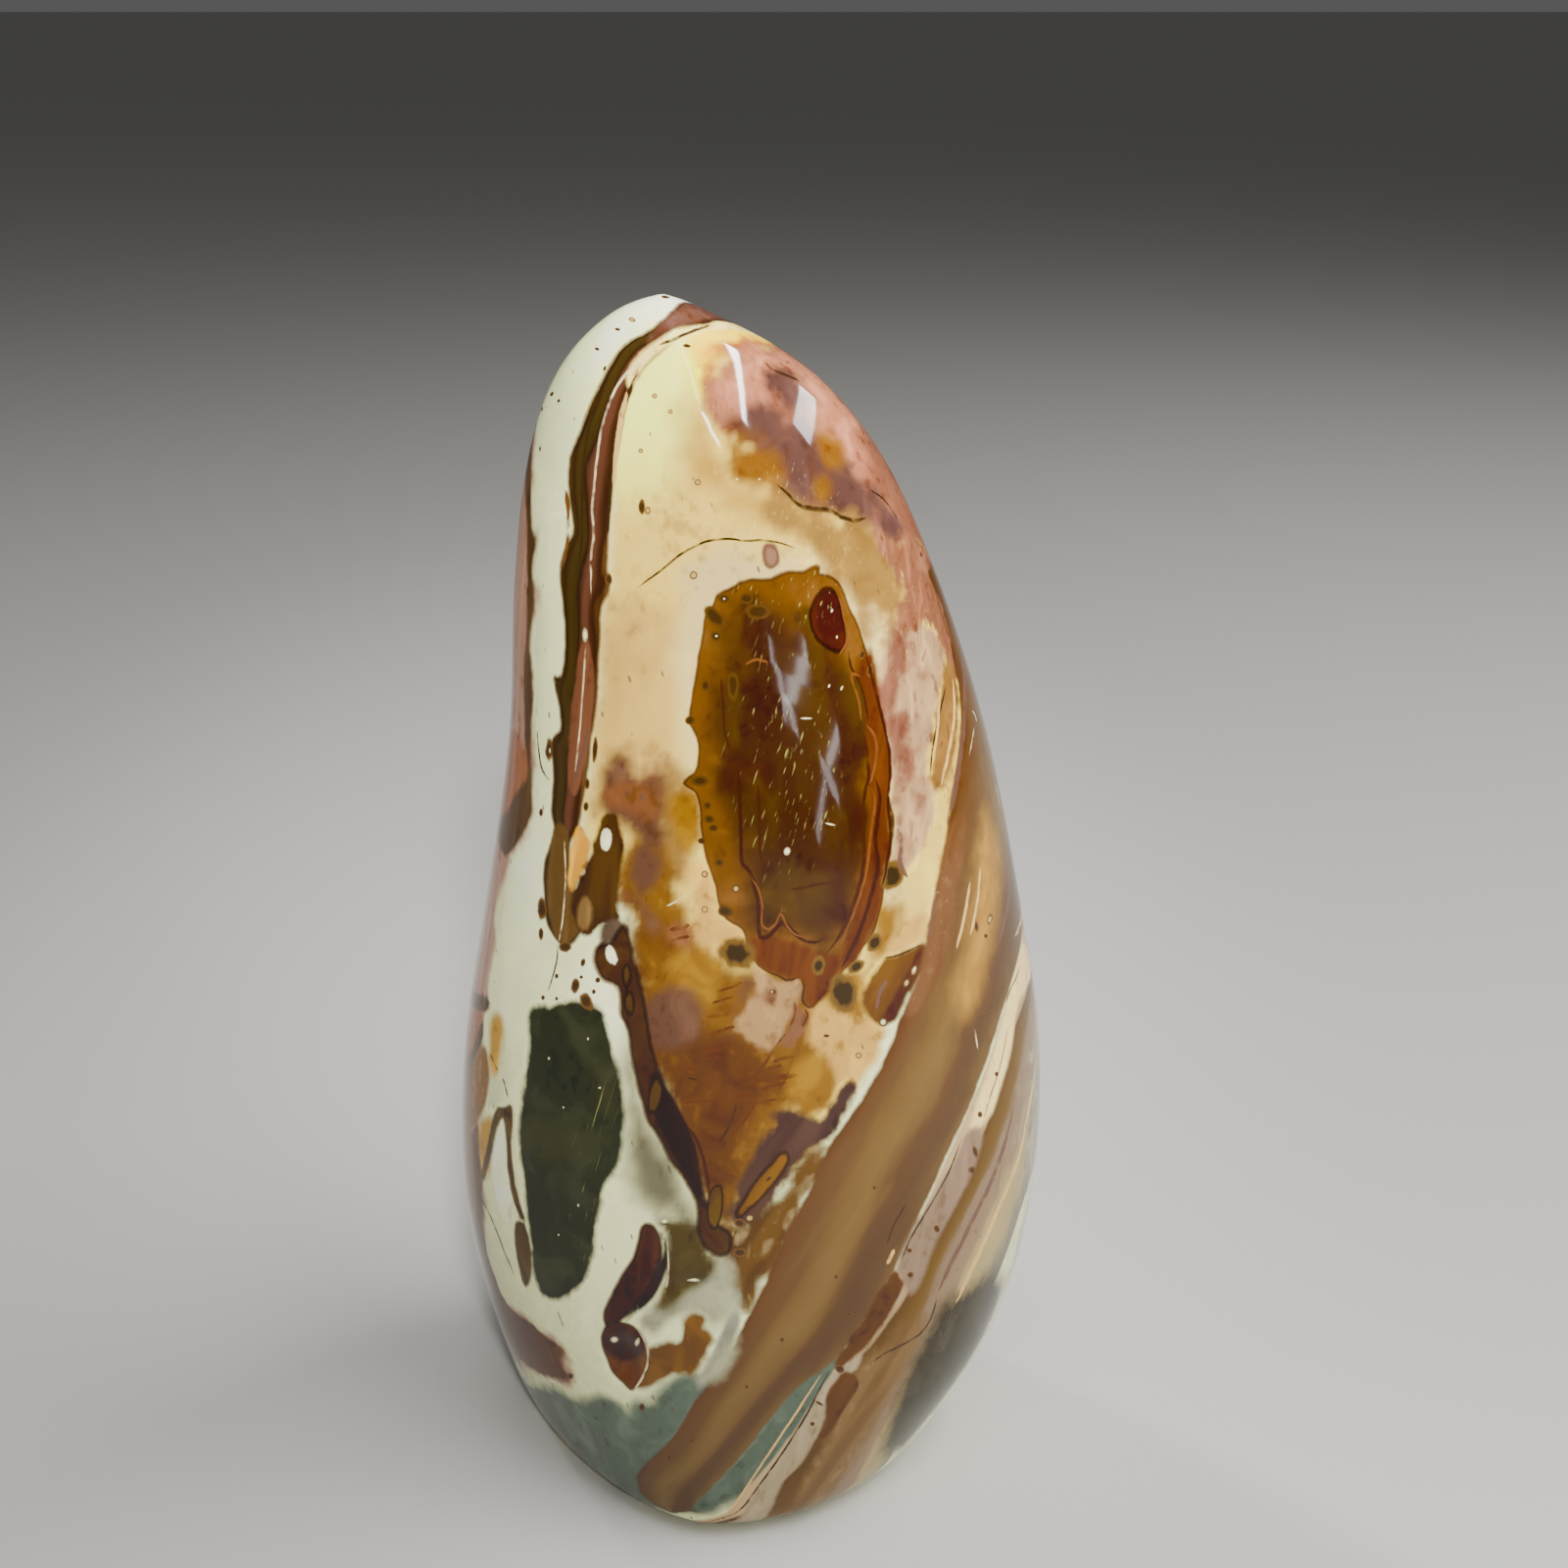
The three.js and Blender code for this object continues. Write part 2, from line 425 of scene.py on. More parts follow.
eyeOutline = [
    (718, 645), (719, 632), (722, 624), (729, 617), (731, 607), (744, 601), (756, 594), (768, 591),
    (785, 591), (795, 586), (805, 583), (818, 584), (826, 580), (836, 578), (834, 585), (845, 588),
    (854, 593), (860, 604), (866, 620), (873, 633), (879, 650), (885, 668), (892, 692), (897, 714),
    (903, 742), (908, 768), (909, 790), (906, 812), (911, 830), (912, 845), (909, 865), (904, 890),
    (899, 920), (893, 945), (886, 960), (872, 976), (861, 990), (848, 1005), (839, 1015), (831, 1027),
    (825, 1029), (818, 1021), (820, 1008), (816, 997), (803, 1001), (792, 995), (780, 990), (769, 979),
    (763, 966), (758, 948), (745, 940), (736, 930), (731, 908), (727, 893), (720, 872), (716, 848),
    (714, 822), (710, 808), (699, 802), (698, 796), (709, 788), (713, 768), (711, 752), (704, 738),
    (705, 718), (709, 694), (713, 668),
]
tanLeft = [
    (950, 575), (962, 620), (972, 665), (979, 710), (979, 755), (972, 800), (966, 850), (955, 905),
    (948, 945), (940, 990), (920, 1035), (905, 1075), (880, 1120), (845, 1170), (825, 1215), (800, 1260),
    (780, 1310), (752, 1365), (738, 1395), (712, 1425), (685, 1468), (655, 1498), (650, 1512), (662, 1532),
    (680, 1541), (684, 1560), (670, 1600),
]
tanRight = [
    (1120, 560), (1100, 700), (1080, 830), (1058, 905), (1042, 960), (1025, 1025), (1010, 1075),
    (995, 1115), (968, 1175), (948, 1220), (930, 1260), (912, 1297), (878, 1355), (848, 1390), (818, 1412),
    (790, 1443), (755, 1488), (715, 1528), (694, 1544), (684, 1562), (670, 1602),
]
creamLeft = [
    (1125, 560), (1105, 700), (1085, 830), (1060, 905), (1043, 960), (1026, 1025), (1011, 1075),
    (996, 1115), (969, 1175), (949, 1220), (931, 1260), (913, 1297), (880, 1356), (856, 1392), (838, 1418),
    (795, 1480), (755, 1526), (715, 1564), (690, 1600),
]
creamRight = [
    (1145, 560), (1125, 700), (1100, 830), (1072, 905), (1054, 960), (1037, 1045), (1027, 1095),
    (1014, 1130), (1003, 1160), (987, 1200), (968, 1240), (945, 1280), (926, 1322), (905, 1350),
    (878, 1386), (855, 1402), (842, 1428), (836, 1458), (822, 1490), (800, 1512), (770, 1540), (738, 1569),
    (720, 1600),
]
brownRight = [
    (1165, 560), (1145, 700), (1120, 830), (1085, 905), (1065, 970), (1050, 1030), (1040, 1090),
    (1028, 1140), (1010, 1190), (985, 1240), (962, 1285), (948, 1325), (925, 1375), (900, 1415),
    (885, 1455), (860, 1500), (830, 1538), (800, 1575), (785, 1600),
]
paleRight = [
    (1205, 560), (1185, 700), (1160, 830), (1120, 905), (1095, 970), (1080, 1030), (1070, 1100),
    (1060, 1160), (1046, 1220), (1030, 1270), (1005, 1330), (980, 1370), (955, 1400), (925, 1450),
    (905, 1492), (870, 1530), (840, 1560), (820, 1600),
]
leftEdge = [
    (556, 395), (549, 418), (543, 460), (542, 500), (543, 540), (548, 552), (543, 580), (546, 612),
    (541, 650), (544, 690), (542, 750), (544, 810), (540, 840), (522, 870), (515, 900), (508, 940),
    (503, 980), (499, 1015), (492, 1058), (497, 1080), (497, 1100), (494, 1132), (489, 1150), (492, 1210),
    (496, 1270), (504, 1300), (517, 1330), (538, 1346), (556, 1362), (574, 1376), (573, 1386), (577, 1398),
    (583, 1406), (575, 1409), (555, 1403), (535, 1400), (515, 1385),
]
# The markings, from the ground colour up: the grain, how ragged and how soft the edge is in millimetres, the
# light, three colours, the outlines, then what is special. A colour is written as it shows in the picture.
# Light says how brightly that place is lit there: the light that it scatters, then its sheen. Flecks are the
# shares of dashes, grit and smears.
markings = {
    "ground": ("broad", 0, 0.1, (1.42, 0.01), "#cbccb5 #bfc0a8 #d7d7be", [], {
        "flecks": (0.75, 0, 0),
        "fleckColour": "#5f5644",
    }),
    # Partly painted light: the crown is painted whiter where the top faces the lamps, over its own pale mint.
    "crownWhiteAndLight": ("broad", 0.6, 1.6, (2.4, 0.01), "#eceedd #e2e6d4 #f3f5e6", [
        [(612, 350), (628, 322), (650, 300), (690, 290), (730, 296), (715, 308), (692, 312), (668, 330),
         (640, 348), (622, 366), (610, 380)],
    ]),
    "lowerShade": ("medium", 0.5, 2, (1.8, 0.006), "#7c775b #868064 #6c6548", [
        [(634, 1062), (646, 1072), (654, 1110), (662, 1140), (678, 1172), (700, 1212), (714, 1250),
         (700, 1262), (682, 1240), (662, 1232), (646, 1212), (638, 1180), (640, 1140), (634, 1100)],
    ]),
    "mintBright": ("broad", 1, 3, (1.42, 0.01), "#dfdfc4 #d8d9be #e6e6ce", [
        (528, 930, 46, 220, 8), (616, 1030, 36, 90, -10), (650, 318, 60, 26, -8),
    ]),
    "creamField": ("broad", 0.6, 1.3, (2.25, 0.007), "#d9cb9c #e0d5ab #cebb88", [
        [(603, 790), (609, 700), (616, 620), (622, 520), (630, 450), (650, 385), (700, 334), (742, 327),
         (800, 345), (900, 400), (1000, 560), (1040, 760), (1070, 900), (1060, 960), (960, 960), (930, 1000),
         (900, 1060), (860, 1130), (745, 1250), (715, 1215), (690, 1150), (665, 1060), (640, 940), (618, 900),
         (600, 850)],
    ], {"flecks": (0.8, 0, 0), "fleckColour": "#6e6258"}),
    # Partly painted sheen: the top's pale cream is painted brighter where the key light's broad highlight
    # falls.
    "creamTopAndSheen": ("broad", 0.8, 3.2, (2.1, 0.012), "#f2ebcc #f7f3de #e8ddb4", [
        [(624, 380), (650, 350), (690, 334), (714, 338), (712, 370), (706, 410), (694, 455), (664, 488),
         (638, 498), (622, 480), (616, 430)],
    ]),
    "goldWash": ("broad", 1.2, 2.6, (2.6, 0.01), "#ccb27a #c0a267 #d6c28e", [
        [(708, 415), (735, 445), (752, 480), (790, 503), (850, 531), (862, 560), (820, 552), (780, 540),
         (742, 530), (712, 505), (700, 465)],
    ]),
    "creamLow": ("broad", 1, 2.6, (2.1, 0.007), "#cdb888 #d2c092 #c0a674", [
        [(612, 640), (690, 620), (702, 700), (694, 780), (690, 870), (650, 850), (612, 835), (602, 780),
         (606, 700)],
    ]),
    "eyeHalo": ("broad", 0.8, 2, (2.45, 0.006), "#d3c9a9 #dad1b1 #c9b88f", [
        [(700, 575), (760, 556), (840, 566), (890, 605), (912, 680), (920, 760), (920, 860), (912, 930),
         (890, 960), (860, 900), (760, 880), (716, 860), (700, 800), (694, 720), (694, 640)],
    ]),
    "goldClouds": ("medium", 1.8, 1.6, (2.25, 0), "#b3935f #a68450 #c3a876", [
        [(676, 792), (700, 798), (712, 830), (712, 868), (706, 900), (690, 912), (676, 890), (672, 850)],
        [(858, 520), (886, 532), (902, 552), (894, 600), (880, 640), (868, 600), (862, 560)],
    ]),
    # Partly painted sheen: the pale orange band is painted near white where the soft highlight streaks run
    # over it.
    "orangeAndSheen": ("medium", 0.4, 1, (2.9, 0.03), "#f6dfa8 #f2cf92 #f8eac2", [
        [(701, 346), (712, 337), (735, 333), (760, 336), (790, 347), (772, 352), (748, 351), (735, 366),
         (727, 392), (716, 408), (706, 392), (702, 365)],
    ]),
    "orangeEdge": ("medium", 0.9, 0.9, (3, 0.05), "#d99556 #c97a42 #e3ad7c", [
        [(730, 352), (745, 345), (775, 347), (800, 352), (770, 356), (748, 360), (738, 372), (730, 388),
         (721, 398), (716, 386), (722, 366)],
    ]),
    "ochreField": ("medium", 1.1, 1.3, (2.15, 0.012), "#9c6f31 #86541b #b18a4e", [
        [(624, 888), (634, 858), (650, 850), (672, 862), (690, 890), (706, 935), (722, 968), (745, 975),
         (775, 988), (800, 1000), (835, 1036), (852, 1070), (840, 1110), (815, 1140), (785, 1180),
         (762, 1215), (745, 1250), (722, 1240), (712, 1210), (700, 1170), (685, 1140), (668, 1090),
         (655, 1040), (645, 990), (636, 945), (626, 915)],
    ], {"flecks": (0, 0.35, 0.8), "fleckColour": "#6a3a10"}),
    "deepOchre": ("medium", 1.2, 2.2, (1.75, 0.012), "#70410f #5e2f05 #82541a", [
        [(672, 1066), (700, 1058), (740, 1050), (775, 1068), (800, 1088), (812, 1105), (790, 1135),
         (765, 1165), (745, 1200), (722, 1238), (704, 1190), (688, 1148), (672, 1110)],
        [(630, 900), (646, 903), (650, 930), (658, 985), (668, 1040), (655, 1045), (645, 985), (634, 935)],
    ]),
    "goldField": ("medium", 0.9, 1.1, (1.95, 0.01), "#a5792f #b38f4d #92621f", [
        [(680, 975), (712, 962), (735, 975), (742, 1000), (730, 1035), (705, 1020), (688, 1002)],
        [(902, 925), (918, 935), (912, 965), (898, 985), (885, 990), (890, 950)],
        [(846, 1000), (872, 985), (888, 1005), (886, 1035), (868, 1045), (850, 1030), (842, 1015)],
        [(684, 815), (706, 808), (718, 830), (716, 862), (700, 876), (688, 850)],
        [(812, 1080), (842, 1072), (850, 1100), (838, 1135), (812, 1145), (800, 1115)],
    ], {"flecks": (0, 0.3, 0.5), "fleckColour": "#7a4c18"}),
    "creamPatch": ("medium", 0.6, 0.7, (2, 0.01), "#cdb483 #d5c190 #b69558", [
        [(700, 885), (715, 874), (728, 890), (733, 915), (739, 937), (756, 946), (757, 958), (742, 966),
         (722, 968), (708, 958), (700, 942), (708, 925), (700, 905)],
        [(828, 1036), (845, 1030), (870, 1038), (885, 1042), (908, 1050), (895, 1080), (874, 1112),
         (860, 1108), (850, 1080), (830, 1070), (822, 1055)],
        [(902, 980), (910, 958), (925, 943), (940, 930), (949, 935), (943, 955), (930, 966), (917, 979)],
    ]),
    "mauveClouds": ("medium", 1.1, 1.3, (2.55, 0.005), "#855a43 #9a7158 #75452e", [
        [(646, 862), (664, 866), (670, 890), (662, 915), (676, 938), (664, 950), (648, 930), (642, 900)],
        [(668, 1016), (690, 1008), (714, 1012), (716, 1040), (698, 1058), (676, 1054), (663, 1035)],
        [(617, 778), (632, 765), (645, 764), (652, 790), (664, 782), (672, 778), (676, 800), (671, 830),
         (677, 850), (660, 866), (645, 850), (632, 845), (616, 830), (613, 805)],
        [(757, 986), (772, 998), (770, 1015), (758, 1035), (748, 1050), (747, 1020)],
    ]),
    "brickClouds": ("medium", 1.4, 1.2, (1.95, 0.004), "#95603f #a5744f #84512f", [
        [(622, 808), (640, 801), (662, 806), (664, 824), (650, 832), (634, 824), (622, 818)],
        [(654, 772), (664, 768), (668, 782), (660, 792), (653, 786)],
        [(680, 944), (694, 938), (706, 946), (704, 962), (690, 968), (680, 958)],
        [(630, 900), (640, 902), (642, 925), (636, 942), (630, 925)],
    ]),
    "pinkCream": ("medium", 0.7, 0.5, (2.2, 0.006), "#bea47f #cbb793 #a9835f", [
        [(768, 985), (782, 996), (800, 1001), (814, 996), (820, 1008), (814, 1030), (803, 1045), (797, 1062),
         (786, 1076), (770, 1068), (756, 1058), (749, 1048), (758, 1032), (770, 1012)],
    ]),
    "pinkVeins": ("medium", 0.9, 0.5, (1.95, 0.006), "#96694e #a67c62 #855339", [
        [(806, 1014), (820, 1026), (826, 1042), (812, 1060), (800, 1072), (794, 1066), (803, 1050),
         (808, 1034)],
        [(780, 1008), (792, 1010), (790, 1022), (780, 1024)],
    ]),
    "blushField": ("slant", 0.9, 0.6, (3, 0.006), "#ccb79d #d8c7ae #b98f76", [
        [(912, 640), (930, 636), (955, 645), (964, 680), (958, 712), (949, 750), (946, 792), (955, 806),
         (950, 840), (934, 880), (914, 890), (912, 845), (909, 800), (905, 755), (897, 715), (899, 680)],
    ], {"flecks": (0.5, 0.3, 0.9), "fleckColour": "#93604c"}),
    "blushSpots": ("slant", 1.6, 0.95, (2.5, 0.006), "#a8755f #b78b76 #985f49", [
        [(902, 672), (914, 650), (928, 658), (926, 685), (914, 702), (902, 700)],
        [(898, 702), (912, 700), (912, 722), (903, 728)],
        [(910, 732), (922, 728), (926, 744), (915, 752)],
        [(921, 764), (936, 760), (938, 780), (930, 796), (922, 790)],
        [(930, 802), (944, 798), (952, 812), (944, 834), (932, 832), (928, 816)],
        [(905, 800), (918, 798), (916, 826), (907, 832)],
        [(930, 842), (938, 838), (934, 870), (926, 882), (922, 872)],
    ], {"flecks": (0.6, 0.3, 0.5), "fleckColour": "#6e3f30"}),
    "rosePatch": ("medium", 0.7, 0.7, (2.7, 0.02), "#b28069 #bd917b #965a43", [
        [(722, 380), (736, 362), (748, 350), (775, 350), (800, 357), (830, 355), (900, 390), (960, 440),
         (1000, 560), (1010, 640), (980, 650), (960, 600), (938, 555), (920, 560), (895, 549), (884, 530),
         (870, 531), (858, 528), (848, 521), (830, 519), (815, 516), (805, 506), (795, 496), (786, 486),
         (776, 466), (758, 448), (744, 455), (732, 438), (719, 416), (717, 396)],
    ], {"flecks": (0, 0.3, 0.6), "fleckColour": "#8a5540"}),
    # Partly painted highlight: lighter rose painted where the bright highlights of the upper right shoulder
    # fall.
    "roseAndSheen": ("medium", 1.3, 1.4, (2.9, 0.02), "#cda38d #d8b8a5 #b57f66", [
        [(726, 388), (745, 360), (770, 352), (798, 360), (806, 376), (792, 396), (775, 412), (755, 420),
         (740, 430), (728, 412)],
        [(818, 372), (850, 385), (872, 410), (880, 440), (862, 452), (842, 436), (828, 412)],
        [(868, 440), (885, 455), (892, 482), (878, 492), (866, 470)],
    ]),
    "roseDark": ("medium", 1.5, 1, (2.75, 0), "#7e5347 #8d655a #6f4238", [
        [(798, 452), (812, 440), (830, 446), (836, 462), (852, 476), (872, 490), (884, 512), (882, 528),
         (862, 526), (842, 518), (820, 514), (806, 504), (796, 488), (800, 468)],
        [(745, 436), (757, 434), (772, 448), (790, 458), (802, 470), (797, 478), (778, 468), (760, 454)],
        [(770, 372), (786, 372), (806, 382), (818, 398), (812, 412), (796, 400), (780, 388)],
        [(884, 500), (900, 500), (915, 525), (925, 550), (908, 552), (892, 532)],
        [(762, 418), (784, 420), (800, 436), (790, 446), (772, 436)],
    ]),
    "ochreLobe": ("medium", 0.9, 0.95, (2.7, 0.012), "#a97743 #b68a52 #985c33", [
        [(738, 450), (750, 442), (766, 454), (788, 470), (802, 484), (793, 494), (768, 496), (750, 490),
         (740, 474)],
        [(836, 448), (850, 446), (858, 456), (852, 468), (840, 464)],
        [(832, 494), (842, 494), (842, 505), (833, 506)],
    ]),
    "goldLobes": ("medium", 1.4, 1.1, (3.2, 0), "#c2a36e #b39058 #ceb581", [
        [(796, 512), (830, 522), (850, 531), (876, 536), (892, 548), (906, 556), (917, 574), (918, 600),
         (904, 618), (889, 606), (876, 590), (862, 580), (840, 574), (816, 562), (796, 548), (786, 528)],
    ]),
    "brickStripe": ("slant", 1.2, 0.5, (2.1, 0.009), "#a6745a #bb8f76 #915640", [
        [(922, 548), (936, 550), (952, 580), (964, 610), (976, 650), (980, 690), (972, 694), (962, 662),
         (950, 636), (934, 640), (918, 648), (912, 625), (922, 600), (919, 570)],
        [(896, 548), (915, 552), (922, 575), (918, 600), (908, 580), (898, 562)],
    ], {"flecks": (0.8, 0.5, 0.9), "fleckColour": "#6d3826"}),
    "goldStripes": ("slant", 0.8, 0.6, (2.5, 0.006), "#b18b5a #bd9968 #9c774a", [
        [(960, 684), (970, 676), (977, 700), (977, 740), (972, 785), (962, 806), (950, 800), (949, 785),
         (955, 745), (957, 710)],
    ], {"flecks": (0, 0, 0.7), "fleckColour": "#7e5a38"}),
    "mauveLower": ("bands", 0.8, 0.6, (2.05, 0.012), "#573730 #6b4a3d #482722", [
        [(872, 1110), (862, 1106), (850, 1124), (836, 1142), (808, 1130), (786, 1136), (790, 1148),
         (775, 1160), (764, 1185), (754, 1212), (745, 1238), (750, 1250), (770, 1255), (782, 1238),
         (797, 1214), (822, 1178), (850, 1158), (868, 1128)],
    ], {"flecks": (0, 0, 0.6), "fleckColour": "#3f1f14"}),
    "brownMix": ("bands", 1.1, 0.7, (1.55, 0.014), "#74502a #5f3d15 #8d7250", [
        [(722, 1276), (714, 1250), (728, 1238), (750, 1250), (768, 1250), (790, 1232), (810, 1195),
         (836, 1176), (832, 1215), (806, 1262), (784, 1310), (762, 1340), (750, 1318), (742, 1290)],
    ], {"flecks": (0.4, 0.7, 0.7), "fleckColour": "#a18c66"}),
    "orangeLens": ("bands", 0.3, 0.35, (1.65, 0.012), "#82561f #926628 #744617", [
        [(795, 1178), (802, 1176), (804, 1186), (794, 1203), (780, 1218), (767, 1232), (755, 1242),
         (751, 1238), (765, 1215), (780, 1195)],
    ], {"rim": 0.35}),
    "creamSlivers": ("medium", 0.5, 0.35, (1.6, 0.014), "#9b8763 #ab9a78 #857048", [
        [(832, 1197), (826, 1214), (813, 1226), (815, 1212), (824, 1200)],
        [(815, 1230), (809, 1245), (802, 1257), (800, 1248), (806, 1236)],
        [(765, 1255), (758, 1266), (751, 1268), (754, 1258)],
        [(790, 1262), (784, 1276), (776, 1282), (780, 1268)],
        [(722, 1264), (716, 1278), (704, 1280), (706, 1266)],
    ]),
    "ochreSpike": ("bands", 0.4, 0.4, (2.1, 0.013), "#7c4d15 #8d6024 #6c3a0a", [
        [(945, 964), (946, 978), (938, 997), (926, 1016), (918, 1032), (908, 1045), (896, 1046), (884, 1034),
         (880, 1022), (886, 1005), (894, 988), (903, 978), (915, 974), (926, 970), (936, 965)],
    ]),
    "spikeRight": ("bands", 0.3, 0.4, (2.1, 0.013), "#5f2a06 #6e3a12 #4c1e04", [
        [(945, 964), (946, 978), (938, 997), (926, 1016), (918, 1032), (908, 1045), (900, 1042), (908, 1022),
         (918, 1004), (928, 986), (936, 972)],
    ]),
    "tealGround": ("medium", 0.7, 0.9, (0.75, 0.035), "#525b50 #606a5d #43493d", [
        [(505, 1395), (530, 1405), (556, 1412), (570, 1418), (590, 1430), (612, 1427), (630, 1431),
         (641, 1444), (648, 1430), (662, 1424), (682, 1412), (700, 1404), (716, 1412), (760, 1400),
         (860, 1370), (850, 1420), (780, 1510), (700, 1590), (600, 1590), (500, 1500), (440, 1400)],
    ]),
    "tanBands": ("bands", 0.25, 0.3, (2, 0.012), "", [
        tanLeft + tanRight[::-1],
    ], {
        "wander": 0.09,
        "lines": [tanLeft, tanRight],
        "ramp": [(-0.2, "#6d4426"), (0, "#74482a"), (0.06, "#7d5232"), (0.2, "#7f5c39"), (0.33, "#8d6d42"),
         (0.46, "#94774b"), (0.56, "#8a6a42"), (0.66, "#765337"), (0.78, "#704f36"), (0.9, "#76583a"),
         (1, "#876843")],
    }),
    "tanGold": ("bands", 1, 2.2, (1.85, 0.012), "#b8955d #c4a36b #a8854f", [
        [(1006, 832), (1018, 870), (1018, 910), (1012, 950), (1004, 990), (994, 1025), (984, 1030),
         (980, 1005), (988, 965), (994, 920), (998, 880), (1000, 850)],
    ]),
    "tanPink": ("bands", 0.3, 0.6, (1.9, 0.012), "#8c6142 #825535 #9a7350", [
        [(982, 830), (984, 870), (976, 910), (970, 950), (962, 985), (950, 1010), (934, 1035), (924, 1030),
         (938, 990), (948, 945), (956, 905), (966, 855)],
    ]),
    "edgeBands": ("bands", 0.15, 0.22, (1.5, 0.03), "", [
        creamLeft + paleRight[::-1],
    ], {
        "flecks": (0.6, 0.3, 0.4),
        "fleckColour": "#7a6448",
        "wander": 0.1,
        "lines": [creamLeft, creamRight, brownRight, paleRight],
        "ramp": [(0, "#b9a88e"), (0.5, "#c2b297"), (0.92, "#a9967a"), (1, "#6d4e26"), (1.35, "#775829"),
         (1.7, "#7c6038"), (1.92, "#866a4a"), (2.05, "#96826c"), (2.3, "#a08b72"), (2.42, "#b6a884"),
         (2.7, "#b0a380"), (2.9, "#87806a"), (3.2, "#7d7a66"), (3.8, "#858370")],
    }),
    "stripLight": ("slant", 0.2, 0.5, (1.6, 0.02), "#d5c7a9 #dccfb4 #c3b192", [
        [(1044, 962), (1052, 985), (1040, 1020), (1032, 1070), (1022, 1105), (1012, 1135), (1000, 1150),
         (990, 1148), (1003, 1108), (1016, 1066), (1028, 1020), (1036, 990)],
    ]),
    "stripLow": ("slant", 0.25, 0.5, (1.85, 0.014), "#a38e79 #ae9882 #947b62", [
        [(996, 1150), (1003, 1158), (993, 1195), (972, 1236), (955, 1268), (942, 1302), (930, 1322),
         (916, 1300), (918, 1280), (935, 1246), (950, 1224), (962, 1202), (972, 1188), (985, 1158)],
    ]),
    # Painted shade: dark grey low on the right, where the stone's belly turns under.
    "lowRightShade": ("medium", 0.8, 1.8, (1.3, 0.05), "#4e493d #5a5448 #403b31", [
        [(960, 1330), (985, 1316), (1010, 1300), (1024, 1310), (1000, 1370), (960, 1430), (920, 1478),
         (900, 1480), (912, 1440), (925, 1400), (940, 1370)],
    ]),
    "browned": ("bands", 0.6, 1.2, (1.05, 0.02), "#7b6040 #6d5033 #8a7050", [
        [(930, 1345), (945, 1350), (925, 1392), (902, 1436), (880, 1480), (850, 1520), (815, 1552),
         (790, 1560), (822, 1512), (845, 1470), (852, 1430), (880, 1392), (905, 1372)],
    ]),
    "stripSecond": ("slant", 0.3, 0.35, (0.98, 0.02), "#968971 #a29680 #82765c", [
        [(862, 1390), (880, 1384), (874, 1396), (856, 1412), (846, 1428), (838, 1456), (818, 1490),
         (794, 1520), (768, 1554), (745, 1572), (715, 1590), (700, 1586), (742, 1558), (766, 1530),
         (792, 1490), (815, 1452), (838, 1418), (850, 1402)],
    ]),
    "rustSeam": ("bands", 0.3, 0.3, (1.25, 0.02), "#5f3b1e #704c2c #4a2a13", [
        [(912, 1296), (918, 1303), (924, 1308), (918, 1322), (908, 1342), (892, 1364), (885, 1373),
         (876, 1381), (866, 1388), (856, 1396), (852, 1392), (862, 1376), (874, 1356), (886, 1336),
         (902, 1312)],
        [(862, 1400), (850, 1412), (842, 1430), (844, 1450), (836, 1466), (846, 1464), (860, 1440),
         (876, 1416), (872, 1404)],
    ]),
    "paleSliver": ("medium", 0.12, 0.4, (1.1, 0.018), "#828072 #8d8b7d #737062", [
        [(750, 1335), (755, 1346), (748, 1368), (735, 1392), (720, 1413), (711, 1420), (715, 1404),
         (727, 1382), (737, 1358), (744, 1342)],
    ]),
    "mintLow": ("medium", 0.6, 1, (1.2, 0.012), "#99977f #a5a48c #88846a", [
        [(690, 1312), (712, 1300), (726, 1284), (746, 1290), (752, 1325), (742, 1345), (728, 1352),
         (712, 1340), (694, 1345), (680, 1352), (668, 1362), (652, 1352), (664, 1332)],
        [(715, 1408), (728, 1390), (740, 1370), (752, 1362), (748, 1385), (730, 1410)],
    ], {"flecks": (0.4, 0.2, 0), "fleckColour": "#5f5644"}),
    "oliveStain": ("medium", 0.6, 0.8, (1.3, 0.014), "#4b3b1b #5b4d2c #372708", [
        [(668, 1244), (684, 1240), (700, 1244), (714, 1256), (722, 1274), (728, 1288), (718, 1308),
         (704, 1318), (694, 1330), (680, 1335), (668, 1332), (676, 1300), (678, 1275), (672, 1256)],
    ]),
    "amberStain": ("medium", 0.5, 0.5, (1.05, 0.016), "#633f16 #775022 #50300c", [
        [(697, 1348), (710, 1340), (720, 1346), (718, 1356), (727, 1366), (722, 1380), (712, 1395),
         (705, 1404), (690, 1400), (672, 1410), (655, 1417), (645, 1412), (655, 1400), (661, 1385),
         (662, 1375), (680, 1368), (694, 1368)],
    ]),
    "leftMargin": ("upright", 0.9, 0.8, (0.75, 0.05), "#94786a #a08678 #82614f", [
        leftEdge + [
            (-94, 9, 0), (-106, 14, 0), (-122, 22, 0), (-134, 36, 0), (-126, 50, 0), (-132, 64, 0),
            (-142, 78, 0), (-132, 90, 0), (-124, 102, 0), (-112, 110, 0), (-98, 118, 0),
        ],
    ]),
    "leftBrown": ("upright", 0.3, 0.4, (0.95, 0.02), "#523927 #624833 #3f2a19", [
        leftEdge[1:14] + [
            (514, 872), (508, 850), (512, 832), (526, 806), (536, 780), (535, 740), (534, 700), (537, 640),
            (538, 580), (537, 520), (538, 460), (543, 425),
        ],
        [(499, 1030), (497, 1018), (486, 1012), (474, 1012), (470, 1020), (486, 1032)],
        [(494, 1040), (492, 1062), (484, 1082), (478, 1102), (472, 1096), (480, 1070), (488, 1046)],
    ]),
    "leftBrick": ("upright", 0.5, 0.5, (0.8, 0.03), "#8a5b44 #99705a #774732", [
